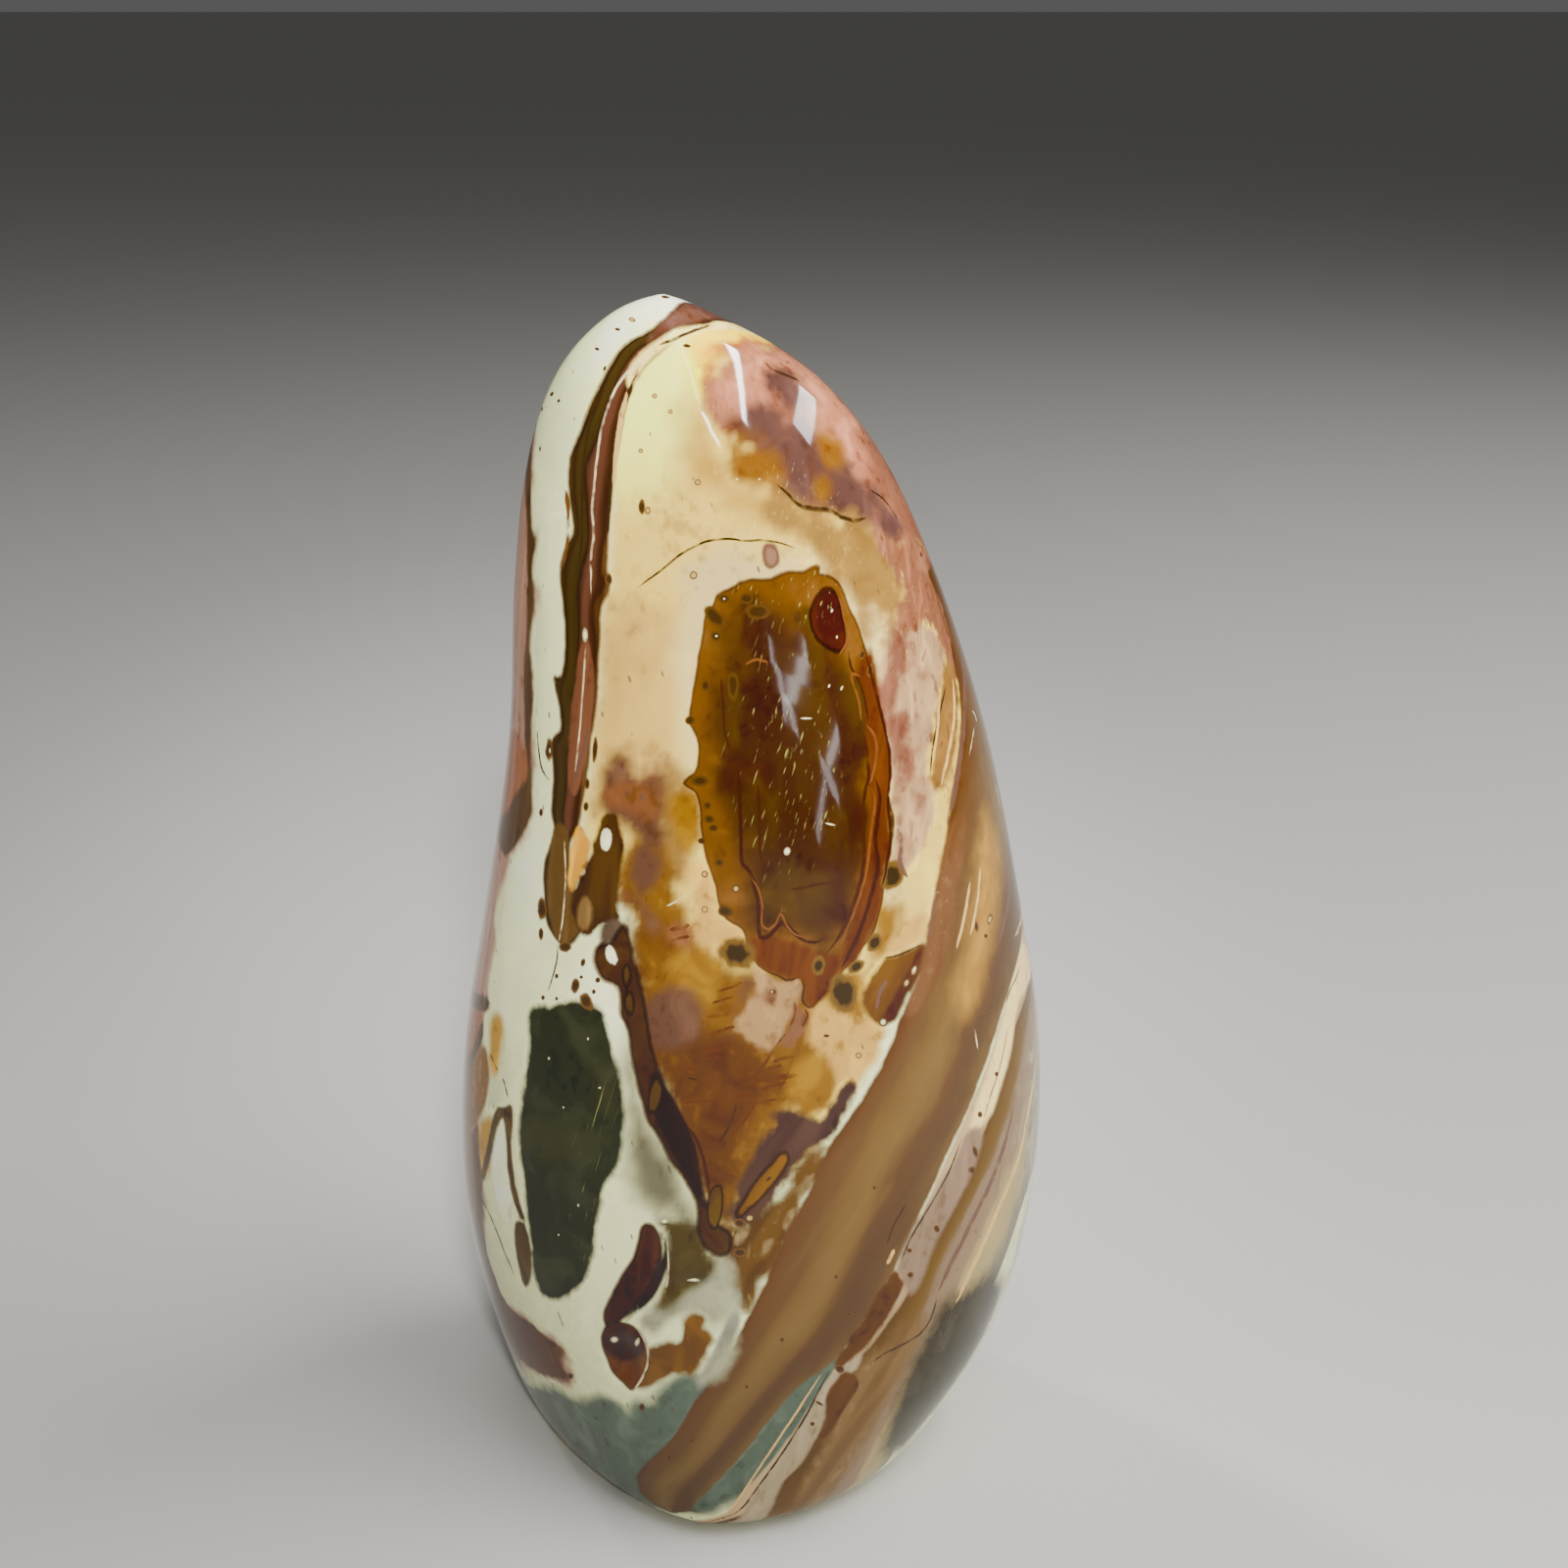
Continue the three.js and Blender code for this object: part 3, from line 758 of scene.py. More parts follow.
        [(526, 745), (536, 770), (537, 795), (526, 812), (514, 830), (490, 820), (485, 780), (510, 755)],
        [(492, 1032), (486, 1060), (478, 1080), (470, 1094), (440, 1100), (420, 1060), (440, 1030),
         (478, 1026)],
    ]),
    "leftTan": ("upright", 0.3, 0.45, (0.9, 0.04), "#7f5f3e #6c4d31 #927253", [
        [(492, 1066), (498, 1080), (498, 1110), (494, 1134), (488, 1142), (480, 1150), (462, 1140),
         (440, 1120), (450, 1095), (478, 1090)],
        [(480, 1150), (486, 1200), (488, 1240), (492, 1270), (480, 1290), (440, 1270), (430, 1200),
         (450, 1150)],
    ]),
    "leftRust": ("medium", 0.7, 0.5, (0.7, 0.06), "#5f4a36 #6e5844 #4c3826", [
        leftEdge[22:34] + [
            (545, 1398), (520, 1372), (500, 1350), (490, 1320), (484, 1280), (486, 1240), (484, 1200),
            (482, 1160),
        ],
    ]),
    "backCream": ("broad", 4, 1.8, (2.25, 0.007), "#d9cb9c #e0d5ab #c8b17c", [
        [(104, 116, 0), (130, 124, 0), (165, 120, 0), (200, 112, 0), (214, 96, 0), (206, 78, 0), (196, 60, 0),
         (178, 44, 0), (150, 40, 0), (124, 52, 0), (112, 70, 0), (106, 94, 0)],
    ], {"flecks": (0.8, 0, 0), "fleckColour": "#6e6258"}),
    "backGold": ("medium", 5, 1.4, (2, 0.01), "#b08a4a #9c6f31 #c4a468", [
        (134, 106, 0, 190, 110, 20), (178, 84, 0, 130, 210, 30), (140, 62, 0, 210, 110, -35),
        (-124, 74, 0, 110, 190, 12), (-112, 34, 0, 120, 150, -10), (108, 84, 0, 90, 200, 25),
    ], {"flecks": (0, 0.3, 0.6), "fleckColour": "#7a4c18"}),
    "backMauve": ("medium", 5, 1.2, (1.95, 0.006), "#8f6049 #a5796a #7a4834", [
        (150, 92, 0, 170, 120, -20), (192, 104, 0, 150, 110, 35), (160, 56, 0, 130, 90, 10),
        (196, 62, 0, 90, 190, 15), (122, 100, 0, 80, 120, 0), (-152, 40, 0, 120, 150, 25),
        (-104, 84, 0, 70, 230, 8), (-114, 58, 0, 90, 120, -16),
    ], {"flecks": (0.2, 0.5, 0.7), "fleckColour": "#5c2f1e"}),
    "backOchre": ("medium", 4.5, 1.3, (1.8, 0.01), "#7c4a17 #8f5f2a #63330c", [
        (152, 74, 0, 120, 190, 35), (184, 70, 0, 70, 120, -10), (-118, 96, 0, 60, 130, 10),
        (-100, 50, 0, 60, 130, -6),
    ], {"flecks": (0, 0.3, 0.8), "fleckColour": "#4a2208"}),
    # Painted shade: grey low on the right side, running on round from the painted shade at the lower right.
    "sideLowShade": ("medium", 4.5, 3.2, (1.1, 0.02), "#8f8874 #a19a86 #7d7462", [
        (92, 26, 0, 170, 260, 20), (118, 16, 0, 200, 110, 0), (80, 44, 0, 90, 140, 20),
    ]),
    "backTeal": ("medium", 2, 1, (0.62, 0.03), "#525b50 #606a5d #43493d", [
        [(100, 0.4, 0), (112, 7, 0), (132, 11, 0), (152, 6, 0), (172, 13, 0), (190, 9, 0), (206, 15, 0),
         (228, 12, 0), (248, 9, 0), (262, 5, 0), (268, 0.4, 0), (230, 0.3, 0), (185, 0.3, 0), (140, 0.3, 0)],
    ]),
    "backBlob": ("medium", 0.6, 0.5, (1.28, 0.012), "#26291a #3a3c26 #1d1f13", [
        [(196, 46, 0), (206, 42, 0), (212, 34, 0), (208, 24, 0), (200, 18, 0), (190, 20, 0), (184, 28, 0),
         (186, 38, 0)],
    ]),
    "backVeins": ("upright", 1.3, 0.4, (1.7, 0.006), "#4e2d12 #6b4426 #3a1d06", [
        [(146, 129, 0), (158, 124, 0), (170, 116, 0), (184, 108, 0), (200, 96, 0), (206, 84, 0), (218, 72, 0),
         (222, 58, 0), (214, 48, 0), (220, 44, 0), (228, 56, 0), (226, 74, 0), (214, 88, 0), (208, 100, 0),
         (192, 113, 0), (178, 121, 0), (166, 129, 0), (154, 132, 0)],
        [(128, 46, 0), (140, 44, 0), (156, 34, 0), (168, 26, 0), (172, 18, 0), (178, 20, 0), (174, 30, 0),
         (160, 41, 0), (144, 49, 0), (132, 52, 0)],
        [(106, 108, 0), (118, 110, 0), (130, 105, 0), (148, 110, 0), (150, 106, 0), (132, 101, 0),
         (118, 105, 0), (106, 103, 0)],
        (-106, 100, 0, 30, 130, 8), (-122, 60, 0, 26, 90, -12), (-96, 66, 0, 22, 110, 4),
    ], {"rim": 0.3}),
    "ochreGlow": ("medium", 0.4, 0.7, (1, 0.02), "#ab8a4d #bd9e62 #99743a", [
        [(502, 1034), (511, 1036), (513, 1060), (510, 1085), (505, 1098), (500, 1080), (499, 1050)],
        [(490, 1142), (503, 1138), (503, 1165), (499, 1192), (494, 1200), (490, 1180)],
    ]),
    "darkBlob": ("medium", 0.45, 0.45, (1.45, 0.014), "#2b2e1e #3a3c28 #20231a", [
        [(541, 1030), (560, 1026), (580, 1022), (600, 1023), (613, 1028), (620, 1050), (625, 1070),
         (630, 1090), (637, 1112), (638, 1140), (636, 1165), (632, 1185), (622, 1202), (614, 1222),
         (610, 1250), (604, 1280), (598, 1302), (586, 1318), (572, 1327), (555, 1322), (545, 1300),
         (542, 1270), (537, 1240), (535, 1210), (531, 1180), (530, 1150), (533, 1120), (537, 1090),
         (540, 1060)],
    ]),
    "blobLight": ("medium", 0.9, 0.9, (1.3, 0.012), "#34351f #3b3d27 #2b2d19", [
        [(540, 1150), (565, 1142), (595, 1150), (618, 1165), (600, 1190), (570, 1186), (544, 1176)],
        [(604, 1080), (622, 1085), (632, 1112), (622, 1135), (606, 1120), (600, 1098)],
        [(552, 1290), (572, 1284), (584, 1298), (570, 1318), (556, 1312)],
    ]),
    "whiteLens": ("medium", 0.12, 0.25, (0.72, 0.025), "#b8b9a4 #c3c4b1 #a3a38e", [
        [(513, 1141), (517, 1160), (518, 1190), (523, 1225), (520, 1248), (512, 1242), (505, 1217),
         (502, 1190), (507, 1160)],
    ]),
    "lensFrame": ("medium", 0.2, 0.25, (0.8, 0.024), "#4a3920 #5b4a30 #382912", [
        [(508, 1130), (515, 1129), (522, 1126), (524, 1142), (522, 1165), (525, 1200), (531, 1228),
         (537, 1247), (532, 1246), (524, 1226), (518, 1195), (516, 1160), (513, 1141), (505, 1158),
         (500, 1185), (494, 1204), (491, 1200), (497, 1168), (502, 1142)],
        [(526, 1246), (536, 1250), (542, 1275), (542, 1302), (536, 1314), (529, 1292), (525, 1265)],
    ]),
    "brownBand": ("upright", 0.15, 0.14, (1.75, 0.006), "", [
        bandOuter + bandInner[::-1],
    ], {
        "wander": 0.08,
        "rim": 0.3,
        "lines": [bandOuter, bandInner],
        "ramp": [(0, "#5c3c1c"), (0.08, "#3b2510"), (0.2, "#4e391c"), (0.36, "#453219"), (0.43, "#371e0e"),
         (0.48, "#5c3826"), (0.56, "#754534"), (0.7, "#70422f"), (0.8, "#4d2a1a"), (0.88, "#3a1f10"),
         (0.95, "#6a4022"), (1, "#8f6a44")],
    }),
    "bandTop": ("slant", 0.4, 0.35, (2.1, 0.01), "#7c4c3a #8f6454 #693a2a", [
        [(668, 334), (687, 320), (697, 310), (710, 308), (740, 317), (762, 327), (784, 341), (765, 333),
         (745, 328), (722, 326), (702, 328), (684, 336), (670, 346), (660, 352)],
    ]),
    "bandCream": ("medium", 0.25, 0.25, (2.5, 0.01), "#e6d9bc #eee5cc #cdb898", [
        [(641, 378), (650, 364), (662, 353), (682, 341), (702, 333), (725, 330), (748, 330), (768, 336),
         (784, 345), (765, 340), (745, 336), (722, 337), (702, 343), (684, 352), (668, 364), (654, 380),
         (644, 396), (640, 390)],
    ]),
    "bandLens": ("upright", 0.2, 0.2, (1.7, 0.004), "#84523a #925f47 #6e3c26", [
        [(594, 655), (602, 658), (606, 690), (604, 730), (599, 765), (592, 800), (586, 812), (579, 795),
         (580, 760), (583, 720), (588, 690)],
    ]),
    "bandTail": ("upright", 0.2, 0.3, (1.5, 0.006), "#6a4a27 #7b5c36 #573817", [
        [(566, 842), (576, 842), (581, 856), (580, 880), (582, 905), (591, 930), (590, 952), (577, 964),
         (566, 955), (560, 930), (558, 900), (561, 868)],
    ]),
    "yellowWedge": ("upright", 0.3, 0.25, (1.6, 0.006), "#c8a266 #dabd85 #a87c44", [
        [(590, 842), (597, 850), (603, 862), (600, 880), (592, 895), (584, 910), (580, 900), (581, 880),
         (583, 858)],
    ]),
    "brownMass": ("upright", 0.45, 0.3, (1.7, 0.006), "#4a290d #5d3a19 #3a1d06", [
        [(612, 838), (619, 829), (628, 830), (634, 845), (636, 870), (633, 900), (630, 925), (634, 940),
         (622, 945), (612, 943), (604, 952), (598, 955), (592, 950), (584, 930), (584, 915), (590, 900),
         (598, 885), (605, 862)],
    ]),
    "greyHeart": ("medium", 0.3, 0.4, (1.7, 0.006), "#68523f #77614d #574030", [
        [(613, 945), (622, 939), (636, 940), (640, 952), (634, 962), (622, 962), (612, 966)],
    ]),
    "creamSpur": ("upright", 0.3, 0.3, (1.6, 0.006), "#8a6a40 #9c7d52 #6f4f2a", [
        [(597, 915), (604, 925), (602, 942), (596, 950), (590, 942), (590, 926)],
    ]),
    "brownVein": ("medium", 0.25, 0.22, (1.7, 0.01), "#4a2708 #5a3713 #381803", [
        [(607, 970), (612, 964), (622, 962), (632, 950), (638, 945), (645, 975), (655, 1010), (661, 1050),
         (670, 1085), (682, 1118), (697, 1143), (710, 1180), (713, 1200), (722, 1232), (732, 1250),
         (745, 1262), (740, 1280), (722, 1276), (713, 1258), (712, 1240), (709, 1224), (697, 1200),
         (684, 1184), (672, 1160), (660, 1143), (653, 1118), (646, 1085), (641, 1050), (634, 1036),
         (632, 1012), (627, 1004), (617, 1000), (608, 986)],
    ], {"rim": 0.4}),
    "darkestVein": ("medium", 0.4, 0.5, (1.6, 0.01), "#230901 #2c0f04 #1b0501", [
        [(664, 1092), (676, 1100), (690, 1128), (704, 1160), (712, 1196), (721, 1230), (710, 1224),
         (698, 1198), (685, 1178), (672, 1150), (664, 1122)],
    ]),
    "oliveLenses": ("medium", 0.08, 0.2, (1.6, 0.012), "#5c3c12 #6d4f24 #4b2c08", [
        [(640, 984), (644, 991), (643, 1003), (640, 1009), (636, 999), (636, 989)],
        [(642, 1011), (646, 1018), (646, 1031), (642, 1037), (638, 1028), (638, 1016)],
        [(670, 1100), (676, 1110), (673, 1127), (665, 1138), (661, 1130), (663, 1113)],
        [(725, 1215), (735, 1210), (737, 1222), (735, 1242), (728, 1256), (722, 1240)],
    ], {"rim": 0.25}),
    "whiteWindows": ("medium", 0.06, 0.12, (1.7, 0.006), "#cfccba #d9d7c8 #bcb49c", [
        [(617, 845), (623, 848), (624, 858), (620, 868), (614, 866), (613, 853)],
        [(620, 964), (626, 968), (631, 983), (625, 984), (620, 980), (618, 972)],
    ]),
    "brownLens": ("upright", 0.1, 0.16, (1.7, 0.024), "#4a2810 #5c3818 #2e1505", [
        [(655, 1252), (663, 1249), (670, 1256), (675, 1270), (675, 1286), (668, 1302), (656, 1325),
         (645, 1337), (635, 1346), (625, 1355), (618, 1352), (616, 1340), (620, 1330), (628, 1314),
         (636, 1299), (646, 1284), (651, 1268)],
    ], {"rim": 0.35}),
    "lensShadow": ("medium", 0.15, 0.3, (1.15, 0.014), "#210e03 #321a0a #170801", [
        [(672, 1256), (680, 1264), (682, 1285), (676, 1308), (666, 1326), (652, 1338), (640, 1347),
         (634, 1353), (646, 1334), (660, 1312), (671, 1292), (677, 1274)],
        [(617, 1352), (630, 1348), (636, 1352), (625, 1362), (614, 1366)],
    ]),
    "chipBed": ("medium", 0.08, 0.14, (0.9, 0.02), "#5c3518 #704825 #43240d", [
        [(617, 1358), (630, 1350), (645, 1353), (655, 1362), (660, 1375), (662, 1388), (658, 1402),
         (650, 1412), (645, 1419), (635, 1410), (625, 1400), (620, 1388), (614, 1370)],
    ], {"rim": 0.25}),
    # Painted shade: the upper part of the chip's hollow, darkened where its upper wall shades it.
    "chipTopShade": ("medium", 0.3, 0.5, (0.82, 0.02), "#331709 #44291b #250f05", [
        [(617, 1358), (630, 1350), (645, 1353), (655, 1362), (659, 1374), (650, 1386), (634, 1389),
         (621, 1383), (614, 1370)],
    ]),
    "amberEye": ("swirl", 0.14, 0.13, (2.2, 0.002), "#875526 #996838 #724014", [
        eyeOutline,
    ], {"flecks": (0, 0.2, 0.25), "fleckColour": "#5c3410", "rim": 0.22}),
    "eyeShade": ("swirl", 0.9, 1.5, (2.2, 0.008), "#623a10 #70481a #532c0a", [
        [(738, 646), (760, 624), (795, 618), (815, 628), (838, 646), (862, 668), (880, 700), (888, 740),
         (892, 790), (888, 850), (880, 905), (866, 940), (846, 972), (818, 964), (796, 950), (778, 956),
         (766, 934), (756, 900), (746, 884), (740, 830), (733, 790), (730, 740), (732, 690)],
    ]),
    "eyeBody": ("swirl", 1, 1.1, (2.2, 0.008), "#522b09 #5f3b10 #441c04", [
        [(766, 634), (785, 630), (805, 634), (830, 642), (850, 664), (866, 690), (874, 722), (880, 760),
         (885, 800), (880, 860), (871, 905), (859, 932), (842, 958), (822, 952), (806, 944), (798, 930),
         (784, 944), (780, 930), (777, 905), (766, 885), (766, 850), (762, 815), (748, 796), (740, 775),
         (748, 735), (756, 700), (762, 665)],
    ]),
    "eyeMaroon": ("medium", 1.2, 1, (2.2, 0.008), "#4d240a #592d10 #401a06", [
        [(766, 640), (776, 636), (786, 646), (788, 668), (778, 682), (767, 674)],
        [(760, 686), (776, 682), (792, 694), (792, 722), (780, 742), (766, 736), (758, 712)],
        [(742, 772), (762, 764), (778, 784), (776, 806), (764, 838), (756, 800), (744, 794)],
        [(846, 920), (862, 922), (866, 938), (856, 950), (845, 942)],
        [(854, 688), (868, 698), (872, 728), (864, 748), (852, 722)],
        [(866, 752), (878, 760), (884, 800), (876, 850), (868, 842), (868, 790)],
        [(806, 906), (830, 900), (850, 900), (840, 908), (816, 914)],
        [(820, 968), (842, 972), (846, 996), (836, 1004), (824, 990)],
    ]),
    "eyeOlive": ("medium", 1.2, 1.2, (2.2, 0.008), "#5f3d13 #6b481b #52300a", [
        [(812, 618), (826, 622), (828, 638), (816, 644), (810, 632)],
        [(850, 664), (862, 676), (875, 700), (879, 728), (874, 744), (869, 722), (859, 698), (851, 682)],
        [(788, 892), (822, 884), (850, 896), (842, 926), (812, 936), (786, 918)],
        [(763, 812), (771, 820), (772, 858), (767, 884), (760, 860)],
        [(800, 660), (836, 664), (846, 680), (820, 684), (798, 676)],
        [(746, 690), (756, 690), (754, 740), (746, 760), (742, 720)],
    ]),
    "eyeFlame": ("slant", 0.3, 0.4, (2.15, 0.008), "#773a17 #884a20 #63270c", [
        [(888, 660), (896, 700), (904, 745), (909, 790), (906, 830), (908, 870), (900, 912), (888, 948),
         (873, 982), (860, 990), (858, 978), (872, 935), (880, 890), (886, 840), (887, 790), (884, 750),
         (884, 715), (876, 680)],
        [(764, 960), (790, 955), (820, 966), (842, 975), (858, 975), (850, 1002), (832, 1028), (822, 1022),
         (820, 1003), (806, 997), (782, 990), (768, 975)],
    ]),
    "eyeOval": ("medium", 0.12, 0.16, (2.5, 0.006), "#571e06 #682a0c #461204", [
        [(835, 608), (842, 601), (850, 602), (856, 610), (858, 622), (861, 635), (863, 650), (862, 659),
         (856, 665), (846, 662), (836, 654), (830, 644), (827, 632), (828, 620)],
    ], {"rim": 0.3}),
}

# Thin lines: cracks, seams and glints. Each has its width in pixels at the middle, and runs out at both ends.
lineSets = {
    "darkLines": {"colour": "#3d2410", "light": (1.8, 0), "broken": 0.25, "lines": [
        (3, [(728, 327), (748, 329), (768, 336), (785, 345)]),
        (3, [(672, 352), (690, 345), (710, 337), (725, 332)]),
        (3, [(622, 384), (612, 405), (603, 430), (597, 460), (594, 500), (594, 545), (590, 580)]),
        (4, [(650, 380), (640, 405), (633, 427), (628, 452), (624, 482), (621, 522), (620, 545)]),
        (1.8, [(650, 600), (672, 584), (694, 566), (712, 556), (728, 551), (745, 550), (762, 552), (778, 551),
            (796, 554), (812, 560)]), (2.5, [(950, 590), (962, 630), (972, 665), (976, 692)]),
        (2.5, [(965, 700), (955, 745), (951, 770), (949, 792)]),
        (2, [(570, 960), (568, 980), (563, 1000), (559, 1012)]),
        (3, [(780, 370), (790, 378), (805, 384), (816, 389)]),
        (3.5, [(793, 495), (805, 505), (816, 516), (830, 519), (848, 521), (858, 528), (871, 531),
            (884, 529)]), (2.5, [(888, 500), (900, 508), (910, 520), (918, 534)]),
        (2, [(702, 1100), (712, 1102)]),
        (3, [(956, 1325), (950, 1345), (940, 1360), (925, 1370), (905, 1380), (890, 1390)]),
        (3, [(845, 1400), (825, 1440), (800, 1480), (775, 1515), (755, 1541), (733, 1567)]),
        (2.5, [(982, 1160), (968, 1196), (948, 1232), (930, 1262), (919, 1288)]),
        (2, [(1004, 1141), (1010, 1120), (1020, 1090), (1028, 1050)]),
        (2.5, [(548, 745), (550, 769), (553, 785), (561, 797)]),
        (2.5, [(500, 1075), (504, 1084), (508, 1093)]), (2.5, [(513, 1100), (516, 1110), (518, 1120)]),
        (3.5, [(484, 1206), (495, 1230), (502, 1245), (508, 1260), (514, 1276), (520, 1290), (525, 1302)]),
        (2, [(569, 1338), (572, 1346), (575, 1354)]), (2, [(656, 298), (672, 296), (690, 296), (702, 299)]),
        (2, [(905, 1270), (912, 1250), (925, 1228)]), (3, [(752, 1126), (745, 1148), (733, 1166)]),
        (2.5, [(903, 978), (916, 975), (928, 970), (940, 964)]), (2, [(930, 1000), (922, 1016), (912, 1032)]),
    ]},
    "maroonLines": {"colour": "#4a1a08", "light": (2.2, 0), "broken": 0.15, "lines": [
        (5, [(753, 785), (755, 820), (756, 850), (757, 880), (765, 889), (770, 905), (774, 926), (774, 945),
            (776, 957), (784, 956), (792, 948), (799, 940), (806, 948), (818, 958), (832, 962), (844, 955)]),
        (5, [(893, 794), (898, 812), (896, 832), (893, 856), (896, 880), (892, 902), (884, 930), (875, 955),
            (865, 975), (858, 990)]),
        (3.5, [(880, 655), (889, 688), (899, 728), (906, 758), (908, 790), (906, 822), (909, 850), (905, 880),
            (899, 910)]), (3, [(828, 622), (833, 611), (841, 602), (850, 601)]),
        (4, [(700, 1148), (712, 1166), (720, 1192), (724, 1222)]),
        (2.5, [(1041, 985), (1037, 997), (1030, 1012), (1026, 1024)]),
    ]},
    "maroonInner": {"colour": "#52210c", "light": (2.2, 0), "broken": 0.2, "lines": [
        (4.5, [(879, 742), (884, 760), (886, 790), (882, 812), (880, 835), (882, 868), (878, 900), (868, 930),
            (856, 956), (843, 974)]), (4, [(773, 800), (775, 830), (775, 860), (778, 882)]),
        (3.5, [(806, 908), (822, 905), (838, 902), (852, 900)]),
        (3, [(866, 664), (868, 680), (876, 694), (882, 712), (886, 736)]),
        (4, [(736, 692), (738, 720), (740, 748), (746, 766)]),
    ]},
    "pinkLines": {"colour": "#9a6038", "light": (2.2, 0), "broken": 0.35, "lines": [
        (2.5, [(765, 893), (774, 908), (778, 925), (777, 942), (783, 949), (791, 944), (797, 931), (803, 945),
            (812, 954), (824, 957)]), (3.5, [(884, 740), (892, 750), (895, 765), (892, 785), (887, 800)]),
        (3, [(889, 802), (893, 815), (890, 840), (887, 865), (884, 890), (875, 922), (866, 945), (856, 968)]),
        (2.5, [(852, 600), (857, 612), (861, 630), (864, 645), (863, 658), (856, 668)]),
        (2.5, [(878, 690), (868, 688), (876, 714), (879, 736)]), (2, [(760, 678), (772, 673), (784, 676)]),
        (4, [(578, 500), (580, 540), (574, 580)]),
    ]},
    "glintLines": {"colour": "#cfc6b2", "light": (1.7, 0), "broken": 0.55, "lines": [
        (2.5, [(665, 362), (650, 372), (640, 380), (630, 393), (625, 403), (620, 416), (616, 430), (612, 446),
            (610, 462), (608, 476), (606, 500), (604, 520), (606, 545), (603, 570), (603, 606)]),
        (2, [(598, 660), (595, 700), (592, 740), (587, 788)]),
        (2, [(576, 858), (577, 900), (574, 938), (570, 962)]),
        (2.5, [(497, 1232), (505, 1248), (511, 1264), (518, 1282), (523, 1296)]),
        (2, [(523, 1130), (525, 1165), (526, 1196), (532, 1228)]),
        (2.5, [(672, 1250), (680, 1262), (682, 1285), (681, 1308), (676, 1320), (669, 1329)]),
        (3, [(646, 1352), (656, 1364), (661, 1380), (660, 1394), (654, 1408), (646, 1419)]),
        (2, [(995, 1050), (996, 1060), (998, 1071)]), (2, [(992, 725), (995, 730), (997, 737)]),
        (1.8, [(994, 742), (992, 755), (989, 771)]), (2, [(690, 918), (702, 912), (708, 902)]),
        (1.8, [(680, 925), (690, 920), (700, 914)]), (2, [(940, 915), (950, 912), (958, 910)]),
        (2, [(1015, 800), (1018, 810), (1020, 822)]),
    ]},
    "rustLines": {"colour": "#6f3309", "light": (1.85, 0), "broken": 0.5, "lines": [
        (4, [(722, 1056), (735, 1052), (750, 1047)]), (7, [(716, 1075), (730, 1072), (747, 1066)]),
        (4, [(714, 1084), (722, 1080), (738, 1079)]), (4, [(692, 1092), (700, 1090), (712, 1092)]),
        (4, [(788, 1084), (798, 1080), (810, 1078)]), (4, [(782, 1091), (790, 1089), (798, 1087)]),
        (7, [(758, 1106), (775, 1102), (794, 1100), (814, 1096)]),
        (4, [(776, 1112), (788, 1108), (802, 1105)]), (4, [(750, 1121), (760, 1118), (770, 1117)]),
        (3, [(743, 1128), (765, 1126), (785, 1123), (802, 1121)]),
        (3, [(698, 1126), (712, 1124), (730, 1124)]),
        (3, [(802, 1054), (790, 1070), (780, 1086), (768, 1102)]),
        (4, [(772, 1124), (758, 1145), (744, 1162)]), (3, [(730, 1012), (745, 1008), (758, 1002)]),
        (3, [(726, 1024), (738, 1020), (750, 1016)]), (3.5, [(722, 1038), (734, 1036), (744, 1035)]),
        (5, [(684, 950), (694, 946), (704, 944)]), (4, [(684, 960), (694, 957), (704, 956)]),
        (3, [(806, 1010), (812, 1030), (806, 1048)]), (3, [(818, 1024), (824, 1036), (818, 1048)]),
    ]},
    "mauveLines": {"colour": "#835d4c", "light": (1.95, 0), "broken": 0.2, "lines": [
        (8, [(978, 650), (984, 690), (984, 730), (980, 770), (974, 808), (966, 842)]),
        (5, [(1028, 875), (1030, 905), (1026, 935), (1018, 965)]),
        (6, [(916, 845), (920, 860), (918, 880), (926, 896)]), (4, [(956, 905), (952, 930), (948, 958)]),
        (5, [(905, 1000), (898, 1012), (894, 1030)]), (4, [(600, 742), (596, 760), (591, 780), (586, 800)]),
        (8, [(1035, 1128), (1026, 1164), (1012, 1204), (993, 1244), (973, 1284), (957, 1318)]),
    ]},
    "creamLines": {"colour": "#c9b48c", "light": (1.5, 0), "broken": 0.2, "lines": [
        (6, [(1041, 895), (1042, 925), (1036, 955)]),
        (3, [(838, 1402), (820, 1430), (800, 1460), (780, 1490), (760, 1520), (740, 1545), (722, 1566)]),
        (5, [(640, 400), (633, 430), (629, 460), (626, 500)]), (4, [(990, 900), (984, 935), (976, 968)]),
        (4, [(972, 692), (974, 722), (969, 762), (960, 802)]), (3, [(960, 702), (957, 740), (951, 782)]),
        (4, [(1000, 885), (998, 915), (990, 955)]), (5, [(905, 1290), (909, 1282), (913, 1275)]),
        (9, [(1057, 1080), (1050, 1130), (1040, 1180), (1018, 1235), (994, 1290), (975, 1330)]),
    ]},
}

